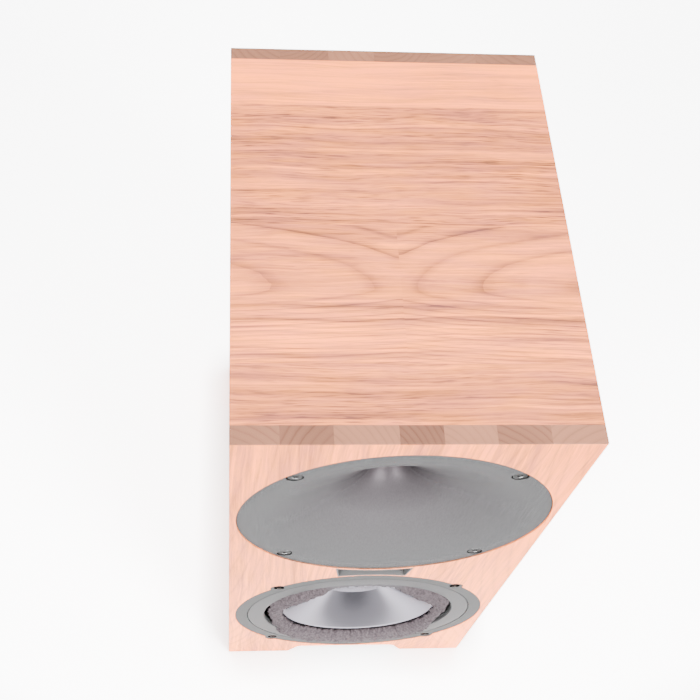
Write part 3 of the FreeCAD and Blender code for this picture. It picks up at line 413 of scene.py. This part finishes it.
def end_staves(edges, seed, tones):
    """Staves of a front or back board; pith and rings follow from the seed, the tones are given."""
    rows = [(edges[0], 0, 0, 0, 0, 0.01, 0, 0, 0, 0, 0, 0, 0)]
    for number, (low, high) in enumerate(zip(edges, edges[1:])):
        chance = [math.sin((seed + number) * factor) * 43758.5 % 1 for factor in (12.9, 78.2, 37.7, 91.3)]
        side = -1 if chance[0] < 0.5 else 1
        pith = (low + high) / 2 + side * (0.012 + 0.05 * chance[1])
        bow = 0.04 + 0.08 * chance[2]
        under, gap = 0.012 + 0.05 * chance[2], 0.0046 + 0.003 * chance[0]
        rows.append((high, pith, under, chance[1], tones[number], gap, bow,
                     0.2 * (chance[3] - 0.5), 0.42, bow, chance[0], 0.16, 0.34))
    return rows


front_staves = end_staves([-0.141, -0.104, -0.0645, -0.016, 0.017, 0.057, 0.098, 0.141], 3.0,
                          (0.16, 0.24, 0.12, 0.30, 0.10, 0.20, 0.04))
back_staves = end_staves([-0.141, -0.096, -0.052, -0.010, 0.041, 0.083, 0.141], 11.0,
                         (0.14, 0.20, 0.10, 0.18, 0.12, 0.16))
fold_z, bottom_z = top_z + half_width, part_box("bottom_panel")[0].z
SQUEEZE = 3.0
board_finish = {
    "front_baffle": walnut("walnut_front", Z, X, Y, (0, face_y, 0), front_staves),
    "back_panel": walnut("walnut_back", Z, X, -Y, (0, rear_y, 0), back_staves),
    "top_panel": walnut("walnut_top", X, Y, -Z, (0, 0, top_z), RUN_STAVES, SQUEEZE),
    "left_side_panel": walnut("walnut_left", Z, Y, X, (-half_width, 0, fold_z), RUN_STAVES, SQUEEZE),
    "right_side_panel": walnut("walnut_right", -Z, Y, -X, (half_width, 0, fold_z), RUN_STAVES, SQUEEZE),
    "bottom_panel": walnut("walnut_bottom", X, Y, Z, (0, 0, bottom_z), RUN_STAVES, SQUEEZE),
}
for node, material in board_finish.items():
    frame["nodes"][node].data.materials[0] = material
print("boards", len(board_finish), "staves in the top", len(RUN_STAVES) - 1)

# %% [markdown]
# ## Turned pieces
#
# Horn, cone, gasket and screws are all turned shapes. One helper makes them: it takes rings, each a radius
# and a depth, and skins them into quads. A ring may also be a function of the angle, which is how a hexagon
# socket, a knurl or gathered cloth is made with the same helper. A ring of radius zero closes to a single
# point.

# %% The turning helper
def mesh_piece(name, vertices, faces, sharp_degrees=32):
    mesh = bpy.data.meshes.new(name)
    mesh.from_pydata(vertices, [], faces)
    shape = bmesh.new()
    shape.from_mesh(mesh)
    bmesh.ops.recalc_face_normals(shape, faces=shape.faces)
    shape.to_mesh(mesh)
    shape.free()
    mesh.shade_smooth()
    mesh.set_sharp_from_angle(angle=math.radians(sharp_degrees))
    piece = bpy.data.objects.new(name, mesh)
    bpy.context.scene.collection.objects.link(piece)
    return piece


def turned(name, rings, x, z, steps=192, closed=True, sharp_degrees=32):
    """Skins rings of (radius, depth) about the front-to-back axis through x and z. Depth is the Y place."""
    vertices, rows = [], []
    for ring in rings:
        if not callable(ring) and ring[0] == 0:
            rows.append([len(vertices)] * steps)
            vertices.append((x, ring[1], z))
            continue
        row = []
        for step in range(steps):
            angle = 2 * math.pi * step / steps
            radius, depth = ring(angle) if callable(ring) else ring
            row.append(len(vertices))
            vertices.append((x + radius * math.cos(angle), depth, z + radius * math.sin(angle)))
        rows.append(row)
    faces = []
    pairs = list(zip(rows, rows[1:])) + ([(rows[-1], rows[0])] if closed else [])
    for first, second in pairs:
        for step in range(steps):
            after = (step + 1) % steps
            corners = list(dict.fromkeys((first[step], first[after], second[after], second[step])))
            if len(corners) > 2:
                faces.append(corners)
    return mesh_piece(name, vertices, faces, sharp_degrees)


def finished(piece, material_name, body, slot, *nodes):
    """Gives a piece its finish, its body and the node that it stands for."""
    piece.data.materials.clear()
    piece.data.materials.append(finishes[material_name])
    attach(piece, body)
    if nodes:
        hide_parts(*nodes)
    print(piece.name, len(piece.data.polygons), "faces")
    return piece


def drilled(piece, tools):
    """Cuts the tool shapes out of the piece and applies the cut."""
    for tool in tools:
        cutter = piece.modifiers.new("cut", "BOOLEAN")
        cutter.object = tool
        cutter.solver = "EXACT"
    bpy.context.view_layer.update()
    mesh = bpy.data.meshes.new_from_object(piece.evaluated_get(bpy.context.evaluated_depsgraph_get()))
    piece.modifiers.clear()
    piece.data = mesh
    mesh.shade_smooth()
    mesh.set_sharp_from_angle(angle=math.radians(32))
    for tool in tools:
        bpy.data.objects.remove(tool)
    return piece


# %% [markdown]
# ## Metals
#
# The horn is blasted and clear-coated, so it is satin and slightly grainy. Its colour carries painted shade:
# it is painted darker and a little warmer where it deepens, near black at the throat and near black in the
# countersinks. The woofer's frame is the same kind of grey. Bright and dark screws, brass and motor steel
# differ in colour and in how they were worked. All of them get their unevenness from noise in the roughness
# and a very fine relief.

# %% Metal finishes
def metal(name, colour, roughness, grit=0.00003, grit_scale=2600, metallic=1.0, brushed=None, wear=0.06,
          edge=1.0):
    """Satin or polished metal. brushed stretches the grit along one axis, edge is the grazed brightness."""
    finish = Finish(name, Metallic=metallic, Roughness=roughness, Base_Color=(*colour, 1),
                    Specular_Tint=grey(edge))
    finish.shader.inputs["Specular IOR Level"].default_value = 0.5 * edge
    place = finish.stretch(finish.place, brushed) if brushed else finish.place
    grit_noise = finish.grain(place, grit_scale, 2)
    smudge = finish.grain(finish.place, 28, 3)
    uneven = finish.sum("ADD", finish.sum("MULTIPLY", grit_noise, wear),
                        finish.sum("MULTIPLY", smudge, wear))
    low, high = roughness - wear, roughness + wear
    finish.set(finish.shader, {"Roughness": finish.sum("ADD", uneven, low)})
    finish.set(finish.shader, {"Base Color": finish.mix(
        finish.ramp(uneven, [(0.2 * wear, 0.0), (1.6 * wear, 1.0)])[0],
        (*[c * 0.9 for c in colour], 1), (*[min(1, c * 1.1) for c in colour], 1))})
    finish.relief(grit_noise, grit)
    finishes[name] = finish.material
    print(name, "roughness", round(low, 2), "to", round(high, 2))
    return finish


horn_finish = metal("horn_metal", (0.062, 0.062, 0.063), 0.50, grit=0.00004, metallic=0.6, edge=0.12)
metal("frame_metal", (0.062, 0.063, 0.063), 0.46, metallic=0.6, edge=0.15)
metal("port_metal", (0.095, 0.095, 0.095), 0.5, metallic=0.5, brushed=(1, 0.1, 1), edge=0.3)
metal("dark_screw", (0.035, 0.030, 0.028), 0.35, edge=0.12)
metal("bright_steel", (0.11, 0.11, 0.11), 0.30, edge=0.3)
metal("brass", (0.62, 0.45, 0.20), 0.30)
metal("gold_brass", (0.83, 0.60, 0.24), 0.20)
metal("motor_steel", (0.36, 0.38, 0.33), 0.38, brushed=(1, 0.05, 1))
metal("dome_metal", (0.62, 0.63, 0.65), 0.22)
metal("coil_wire", (0.62, 0.28, 0.12), 0.3, brushed=(1, 0.05, 1))

# %% Painted shade deeper in the horn, and faint upright streaks on the horn
HORN_GREY, HORN_SHADED_DEEP = (0.082, 0.081, 0.083, 1), (0.068, 0.060, 0.065, 1)
horn_spread = horn_finish.add("ShaderNodeVectorMath", {"operation": "SUBTRACT"},
                              i0=horn_finish.place, i1=(0, horn_y, horn_z)).outputs[0]
horn_radius = horn_finish.add("ShaderNodeVectorMath", {"operation": "LENGTH"},
                              i0=horn_finish.stretch(horn_spread, (1, 0, 1))).outputs["Value"]
horn_share = horn_finish.sum("DIVIDE", horn_radius, horn_r)
# Painted shade: the horn's colour turns darker and a little warmer towards its deep middle.
horn_deep_shade = horn_finish.ramp(horn_share, [(0.30, 1.0), (0.62, 0.5), (0.88, 0.0)])[0]
horn_streak = horn_finish.grain(horn_finish.stretch(horn_finish.place, (900, 900, 40)), 1, 3)
horn_base = horn_finish.mix(horn_deep_shade, HORN_GREY, HORN_SHADED_DEEP)
horn_base = horn_finish.mix(0.25, horn_base, horn_finish.ramp(horn_streak, [(0.3, 0.058), (0.7, 0.106)])[0])
# Painted shade: the colour turns near black towards the throat.
clear_of_throat_shade = horn_finish.ramp(horn_share, [(0.12, 0.25), (0.42, 1.0)])[0]
horn_base = horn_finish.mix(clear_of_throat_shade, (0.020, 0.016, 0.018, 1), horn_base)

# %% Painted shade in the countersinks, found by folding the four screws onto one
SCREW_HEAD_R, SINK_SHADE_R = 6.0 * MM, 7.3 * MM
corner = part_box("horn_screws")[1]
folded = horn_finish.add("ShaderNodeVectorMath", {"operation": "ABSOLUTE"}, i0=horn_spread).outputs[0]
from_screw = horn_finish.add("ShaderNodeVectorMath", {"operation": "SUBTRACT"}, i0=folded,
                             i1=(corner.x - SCREW_HEAD_R, 0, corner.z - SCREW_HEAD_R - horn_z)).outputs[0]
sink_radius = horn_finish.add("ShaderNodeVectorMath", {"operation": "LENGTH"},
                              i0=horn_finish.stretch(from_screw, (1, 0, 1))).outputs["Value"]
sink_shade_share = horn_finish.sum("DIVIDE", sink_radius, SINK_SHADE_R)
outside_sink_shade = horn_finish.ramp(sink_shade_share, [(0.96, 0.0), (1.0, 1.0)])[0]
# Painted shade: near black inside each countersink, round the screw head.
horn_base = horn_finish.mix(outside_sink_shade, (0.006, 0.006, 0.006, 1), horn_base)
horn_finish.set(horn_finish.shader, {"Base Color": horn_base})

# %% [markdown]
# ## Plastics, cloth and the rest
#
# The moulded parts have a fine spark-eroded grain. The surround is cloth that is coated and gathered, so it
# is matt, pinkish grey and fibrous. The inner pieces are seen only when the speaker is taken apart, and
# each still gets its own finish.

# %% Other finishes
def matt(name, dark, light, scale, relief, roughness=0.6, stretch=(1, 1, 1), detail=3.0, **sockets):
    """Two close colours mixed by noise of one scale, with relief from the same noise."""
    finish = Finish(name, Roughness=roughness, **sockets)
    texture = finish.grain(finish.stretch(finish.place, stretch), scale, detail, 0.6)
    finish.set(finish.shader, {"Base Color": finish.mix(
        finish.ramp(texture, [(0.32, 0.0), (0.68, 1.0)])[0], (*dark, 1), (*light, 1))})
    finish.relief(texture, relief)
    finishes[name] = finish.material
    return finish


matt("black_plastic", (0.012, 0.012, 0.013), (0.03, 0.03, 0.032), 1800, 0.00005, 0.42)
matt("red_plastic", (0.34, 0.012, 0.012), (0.48, 0.03, 0.025), 1800, 0.00005, 0.36)
matt("gasket_fibre", (0.024, 0.023, 0.024), (0.036, 0.035, 0.036), 900, 0.00006, 0.62,
     Specular_IOR_Level=0.1)
cloth_finish = matt("surround_cloth", (0.017, 0.013, 0.015), (0.054, 0.043, 0.047), 420, 0.0004, 0.85,
                    detail=5.0, Specular_IOR_Level=0.1)
matt("damping_felt", (0.10, 0.10, 0.11), (0.22, 0.22, 0.24), 700, 0.0006, 0.95, detail=5.0)
matt("ferrite", (0.03, 0.03, 0.032), (0.06, 0.06, 0.064), 1200, 0.00008, 0.7)
matt("dome_film", (0.42, 0.30, 0.14), (0.52, 0.38, 0.20), 300, 0.00003, 0.35)
matt("spider_cloth", (0.42, 0.30, 0.12), (0.62, 0.47, 0.24), 1500, 0.0002, 0.85)
matt("circuit_board", (0.010, 0.07, 0.03), (0.018, 0.11, 0.05), 400, 0.00003, 0.4)
matt("capacitor_film", (0.42, 0.30, 0.05), (0.55, 0.40, 0.08), 200, 0.00003, 0.35)
matt("resistor_ceramic", (0.62, 0.60, 0.55), (0.74, 0.72, 0.67), 900, 0.00006, 0.75)
matt("wire_sleeve", (0.02, 0.02, 0.02), (0.05, 0.05, 0.05), 900, 0.00003, 0.5)
matt("inner_ply", (0.42, 0.27, 0.15), (0.62, 0.44, 0.27), 40, 0.0002, 0.7, stretch=(1, 1, 8))
print("finishes", len(finishes))

# %% Every node takes the finish of its slot
for name, node in frame["nodes"].items():
    if name not in board_finish:
        slot_name = node.data.materials[0].name
        node.data.materials[0] = finishes.get(slot_name) or finishes["walnut_front"]

# %% [markdown]
# ## The cone
#
# The woofer's cone is thin, smooth and silver grey. A satin metal with a low roughness gives the two soft
# bright patches to the left and right of a darker middle, where the shallow dust cap sits. The profile is
# nearly straight and a little steeper towards the neck, with a flat rim that the surround is glued to.

# %% Turn the cone and its dust cap
cone_z, cone_r, cone_y, cone_rear_y = round_place("woofer_cone")
cap_z, cap_r = round_place("woofer_dust_cap")[:2]
NECK_R, LIP, CONE_T = 26 * MM, 4 * MM, 1 * MM
CURVED_SHARE = 0.18
metal("cone_paper", (0.126, 0.121, 0.138), 0.19, grit=0.000006, wear=0.02, edge=0.4)

rim_r = cone_r - LIP
cone_drop = cone_rear_y - cone_y - 1.6 * CONE_T


def cone_face(radius):
    share = (rim_r - radius) / (rim_r - NECK_R)
    return cone_y + cone_drop * ((1 - CURVED_SHARE) * share + CURVED_SHARE * share ** 2)


cone_radii = [rim_r + (NECK_R - rim_r) * n / 24 for n in range(25)]
front_rings = [(cone_r, cone_y + 0.3 * MM), (cone_r - 0.3 * MM, cone_y), (rim_r + 0.6 * MM, cone_y)]
front_rings += [(radius, cone_face(radius)) for radius in cone_radii]
back_rings = [(radius + 0.6 * CONE_T, cone_face(radius) + CONE_T) for radius in reversed(cone_radii)]
cone = turned("woofer_cone_skin", front_rings + back_rings + [(cone_r, cone_y + CONE_T)], 0, cone_z, 256)
finished(cone, "cone_paper", "woofer_piston", "cone_paper", "woofer_cone")

cap_rim_y = cone_face(cap_r) - 0.1 * MM
CAP_SAG, CAP_T, CAP_STEPS = 3 * MM, 0.8 * MM, 16
cap_shares = [n / CAP_STEPS for n in range(CAP_STEPS + 1)]
cap_front = [(cap_r * share, cap_rim_y + CAP_SAG * (1 - share ** 2)) for share in cap_shares]
cap_back = [(radius, depth + CAP_T) for radius, depth in reversed(cap_front)]
cap = turned("woofer_dust_cap_skin", cap_front + cap_back, 0, cap_z, 192, closed=False)
finished(cap, "cone_paper", "woofer_piston", "cone_paper", "woofer_dust_cap")

# %% [markdown]
# ## The gathered surround
#
# A strip of coated cloth is gathered into a ring between the frame and the cone. At the bottom it is slack:
# it bunches forward and laps over the gasket. At the upper left and right it hangs inward in ragged folds
# over the cone's edge. At the very top it is pulled flat, and at both sides it is drawn in so far that a
# dark crescent opens beside the gasket. The folds are not simulated. They come from sums
# of noises in the turning helper, and the two edges of the cloth follow one table over the angle.

# %% The two edges and the slack of the cloth, by angle
GASKET_INNER = 102 * MM
crest_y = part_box("woofer_surround")[0].y
seat_y = cone_y - 0.25 * MM
lip_y = gasket_rear_y + 0.3 * MM
# degrees from the bottom, outer edge and inner edge in millimetres, slack from 0 to 1
CLOTH_TABLE = [(0, 117, 84, 1.0), (30, 116, 84, 1.0), (48, 109, 85, 0.95), (62, 101, 84, 0.8),
               (74, 97, 83, 0.55), (96, 96.5, 83, 0.5), (112, 101, 79, 0.85), (130, 102, 74, 1.0),
               (148, 101, 79, 0.8), (160, 101, 83.5, 0.2), (180, 101, 83.5, 0.08)]


def smooth_step(value):
    value = max(0.0, min(1.0, value))
    return value * value * (3 - 2 * value)


def cloth_edges(angle):
    """Outer edge, inner edge and slack at an angle, read from the table with soft steps."""
    from_bottom = math.degrees(abs((angle + math.pi / 2 + math.pi) % (2 * math.pi) - math.pi))
    for low, high in zip(CLOTH_TABLE, CLOTH_TABLE[1:]):
        if from_bottom <= high[0]:
            share = smooth_step((from_bottom - low[0]) / (high[0] - low[0]))
            return [a + (b - a) * share for a, b in zip(low[1:], high[1:])]


def lumps(angle, across, scale, seed):
    place = Vector((math.cos(angle) * scale, math.sin(angle) * scale, across + seed))
    return noise.fractal(place, 0.8, 2.1, 4)


# %% Gather the cloth
PUCKERS = 96
CLOTH_TIGHT = (0.044, 0.041, 0.045, 1)


def cloth_ring(across):
    """Ring of the cloth's face at a share across it, from 0 outside to 1 inside."""
    def ring(angle):
        outer, inner, slack = cloth_edges(angle)
        below = 1.0 if math.sin(angle) < -0.3 else 0.0
        ragged = 0.4 + 0.6 * slack
        outer += 2.6 * lumps(angle, 0, 22, 3.1) * ragged
        inner += 3.4 * lumps(angle, 0, 19, 8.3) * ragged
        radius = (outer + (inner - outer) * across) * MM
        crown = math.sin(math.pi * across) ** 0.7 if 0 < across < 1 else 0.0
        over_gasket = smooth_step((radius - GASKET_INNER) / (1.5 * MM))
        seat = seat_y + below * max(0.0, cone_face(radius) - cone_y)
        floor_y = lip_y + (seat - lip_y) * smooth_step((GASKET_INNER - radius) / (10 * MM))
        floor_y += (gasket_y - 0.6 * MM - floor_y) * over_gasket
        proud = max(0.0, floor_y - crest_y - 1.2 * MM) * slack
        loose = lumps(angle, across * 0.5, 6, 1.7)
        fold = math.sin(PUCKERS * angle + 14.0 * loose)
        gather = 0.22 * fold + 1.7 * lumps(angle, across * 3.2, 24, 5.2)
        gather *= 1 - 0.85 * smooth_step((across - 0.45) / 0.3) * smooth_step((slack - 0.75) / 0.2) * below
        depth = floor_y - proud * crown - gather * (0.35 + 1.1 * slack * crown) * MM
        return radius + 0.5 * gather * slack * MM, max(depth, crest_y - 0.5 * MM)
    return ring


ACROSS = 30
cloth_rings = [cloth_ring(n / ACROSS) for n in range(ACROSS + 1)]
cloth = turned("gathered_surround", cloth_rings, 0, woofer_z, 1080, closed=False, sharp_degrees=180)
thicken = cloth.modifiers.new("cloth_thickness", "SOLIDIFY")
thicken.thickness = 0.5 * MM
thicken.offset = 0
slack_values = cloth.data.attributes.new("slack", "FLOAT", "POINT").data
for vertex, value in zip(cloth.data.vertices, slack_values):
    value.value = cloth_edges(math.atan2(vertex.co.z - woofer_z, vertex.co.x))[2]
tight = cloth_finish.add("ShaderNodeAttribute", {"attribute_name": "slack"}).outputs["Fac"]
loose_colour = cloth_finish.shader.inputs["Base Color"].links[0].from_socket
cloth_finish.set(cloth_finish.shader, {"Base Color": cloth_finish.mix(
    cloth_finish.ramp(tight, [(0.1, 0.0), (0.45, 1.0)])[0], CLOTH_TIGHT, loose_colour)})
print("surround verts", len(cloth.data.vertices))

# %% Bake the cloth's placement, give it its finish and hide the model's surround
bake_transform(cloth)
for vertex in cloth.data.vertices:
    radius = math.hypot(vertex.co.x, vertex.co.z - woofer_z)
cloth.data.materials.append(finishes["surround_cloth"])
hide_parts("woofer_surround")

# %% [markdown]
# ## Gasket and frame ring
#
# The gasket is a flat ring with softly rounded edges that sits in the frame's step. It is turned again here
# so that its rounded edges are true arcs. The cast frame with its four lugs keeps the shape of the
# mechanical model.

# %% Turn the gasket
def rounded_ring(outer, inner, front, rear, radius, arc_steps=6):
    """Rings of a flat washer whose two front edges are quarter rounds."""
    arc = [math.pi / 2 * n / arc_steps for n in range(arc_steps + 1)]
    outside = [(outer - radius + radius * math.cos(a), front + radius - radius * math.sin(a)) for a in arc]
    inside = [(inner + radius - radius * math.sin(a), front + radius - radius * math.cos(a)) for a in arc]
    return [(outer, rear)] + outside + inside + [(inner, rear)]


GASKET_ROUND = 0.9 * MM
gasket_rings = rounded_ring(gasket_r, GASKET_INNER, gasket_y, gasket_rear_y, GASKET_ROUND)
gasket = turned("woofer_gasket_ring", gasket_rings, 0, woofer_z, 256)
finished(gasket, "gasket_fibre", "cabinet", "gasket_fibre", "woofer_gasket")

# %% [markdown]
# ## Screws
#
# Eight countersunk screws with hexagon sockets hold the horn and the woofer. Each head is turned with a
# rounded edge; the socket is a ring whose radius follows a hexagon, so no cutting is needed.

# %% Make the screws
def hexagon(flat):
    """Radius of a hexagon with that distance from centre to flat, by angle."""
    sector = math.pi / 3
    return lambda angle: flat / math.cos((angle + sector / 2) % sector - sector / 2)


def screw_rings(head_r, head_h, shank_r, length, face, socket):
    edge = hexagon(socket)
    soft = 0.35 * MM
    rings = [(0, face + 1.9 * MM), (socket * 0.4, face + 1.75 * MM)]
    rings += [lambda a: (edge(a) * 0.98, face + 1.5 * MM), lambda a: (edge(a), face + 0.3 * MM),
              lambda a: (edge(a) + 0.2 * MM, face)]
    rings += [(head_r - soft, face), (head_r - 0.3 * soft, face + 0.1 * MM), (head_r, face + soft)]
    rings += [(shank_r, face + head_h)]
    turns = int((length - head_h) / (0.5 * MM))
    rings += [(shank_r - (0.25 * MM if n % 2 else 0), face + head_h + n * 0.5 * MM) for n in range(1, turns)]
    return rings + [(shank_r * 0.6, face + length), (0, face + length)]


SOCKET_SHARE = 0.40


def screw_set(name, node, head_r, head_h, shank_r, material):
    """Four screws in the places of the node's four corners, as one piece."""
    low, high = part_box(node)
    rings = screw_rings(head_r, head_h, shank_r, high.y - low.y, low.y, head_r * SOCKET_SHARE)
    parts = []
    for x in (low.x + head_r, high.x - head_r):
        for z in (low.z + head_r, high.z - head_r):
            parts.append(turned(name, rings, x, z, 48, closed=False))
    with bpy.context.temp_override(active_object=parts[0], selected_editable_objects=parts):
        bpy.ops.object.join()
    parts[0].name = name
    return finished(parts[0], material, "cabinet", "dark_screw", node)


screw_set("horn_screw_set", "horn_screws", SCREW_HEAD_R, 3.2 * MM, 2.9 * MM, "bright_steel")
screw_set("woofer_screw_set", "woofer_screws", 5.2 * MM, 2.8 * MM, 2.4 * MM, "dark_screw")

# %% [markdown]
# ## The horn
#
# The horn's rim is flat, then its wall turns in to a straight slope of a little less than one in two, and
# only close to the throat does it steepen into the hole. Three numbers say that: the wall's slope, how late
# the rim turns into the wall, and the slope added at the throat. The rim keeps a thin rounded edge, and
# four countersinks take the screws.

# %% Turn the horn and sink its screw holes
THROAT_R, HORN_WALL, RIM_T = 12.7 * MM, 4 * MM, 5 * MM
THROAT_FLANGE_R, THROAT_FLANGE_T = 45 * MM, 8 * MM
FLARE_START = horn_r - 6 * MM
WALL_SLOPE, RIM_POWER, THROAT_SLOPE = 0.45, 6, 3.2
EDGE = 0.4 * MM


def flare(radius):
    """Depth of the horn's face behind its rim."""
    share = min(1.0, radius / FLARE_START)
    wall = FLARE_START * (1 - share - (1 - share ** (RIM_POWER + 1)) / (RIM_POWER + 1))
    throat = THROAT_R / 2 * ((THROAT_R / radius) ** 2 - (THROAT_R / FLARE_START) ** 2)
    return WALL_SLOPE * wall + THROAT_SLOPE * max(0.0, throat)


def flare_slope(radius):
    return WALL_SLOPE * (1 - (radius / FLARE_START) ** RIM_POWER) + THROAT_SLOPE * (THROAT_R / radius) ** 3


STEPS_IN = 72
horn_radii = [FLARE_START * (THROAT_R / FLARE_START) ** (n / STEPS_IN) for n in range(STEPS_IN + 1)]
rings = [(horn_r, horn_y + EDGE), (horn_r - EDGE * 0.3, horn_y + EDGE * 0.3), (horn_r - EDGE, horn_y)]
rings += [(radius, horn_y + flare(radius)) for radius in horn_radii]
rings += [(THROAT_FLANGE_R, horn_rear_y), (THROAT_FLANGE_R, horn_rear_y - THROAT_FLANGE_T)]
for radius in reversed(horn_radii):
    tilt = math.hypot(1, flare_slope(radius))
    outside = (radius + HORN_WALL * flare_slope(radius) / tilt, horn_y + flare(radius) + HORN_WALL / tilt)
    if outside[1] < horn_rear_y - THROAT_FLANGE_T - 1 * MM and radius < horn_r - 26 * MM:
        rings.append(outside)
rings += [(horn_r - 17.5 * MM, horn_y + RIM_T), (horn_r, horn_y + RIM_T)]
horn = turned("horn_shell", rings, 0, horn_z, 288)
screw_low, screw_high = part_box("horn_screws")
SINK_R, HOLE_R = 7.0 * MM, 3.2 * MM
tools = []
for x in (screw_low.x + SCREW_HEAD_R, screw_high.x - SCREW_HEAD_R):
    for z in (screw_low.z + SCREW_HEAD_R, screw_high.z - SCREW_HEAD_R):
        face = screw_low.y
        tools.append(turned("sink", [(0, face - 3 * MM), (SINK_R + 0.35 * MM, face - 3 * MM),
                                     (SINK_R + 0.35 * MM, face - 0.35 * MM), (SINK_R, face),
                                     (HOLE_R, face + 3.7 * MM), (HOLE_R, face + 14 * MM),
                                     (0, face + 14 * MM)],
                            x, z, 48, closed=False))
drilled(horn, tools)
finished(horn, "horn_metal", "cabinet", "horn_metal", "horn")

# %% [markdown]
# ## Floor
#
# A wide pale floor carries the speaker. Round its foot it is the glowing table, which fades out a short way
# in front; the glow is held back close to the cabinet, and that makes the contact shadow.

# %% Floor
FLOOR_HALF = 8.0
TABLE_MIDDLE, TABLE_FADE, TABLE_GLOW = 0.75, (1.04, 1.20), 5.8
CONTACT_REACH, CONTACT_DEPTH = 45 * MM, 3.5
floor = mesh_piece("studio_floor", [(-FLOOR_HALF, -FLOOR_HALF, 0), (FLOOR_HALF, -FLOOR_HALF, 0),
                                    (FLOOR_HALF, FLOOR_HALF, 0), (-FLOOR_HALF, FLOOR_HALF, 0)],
                   [(0, 1, 2, 3)])
paper = Finish("studio_paper", Roughness=0.8, Emission_Color=(1, 1, 1, 1))
from_table = paper.add("ShaderNodeVectorMath", {"operation": "DISTANCE"},
                       i0=paper.place, i1=(0, TABLE_MIDDLE, 0))
on_table = paper.ramp(paper.sum("DIVIDE", from_table.outputs["Value"], TABLE_FADE[1]), [
    (TABLE_FADE[0] / TABLE_FADE[1], 1.0), (1.0, 0.0)], "EASE")[0]
open_sky = paper.add("ShaderNodeAmbientOcclusion", {"samples": 8}, i1=CONTACT_REACH).outputs["AO"]
shadow = paper.sum("POWER", open_sky, CONTACT_DEPTH)
glow = paper.sum("MULTIPLY", paper.sum("MULTIPLY", on_table, TABLE_GLOW), shadow)
paper.set(paper.shader, {"Emission Strength": glow,
                         "Base Color": paper.mix(on_table, grey(0.42), grey(0.86))})
paper.shader.inputs["Specular IOR Level"].default_value = 0.1
floor.data.materials.append(paper.material)
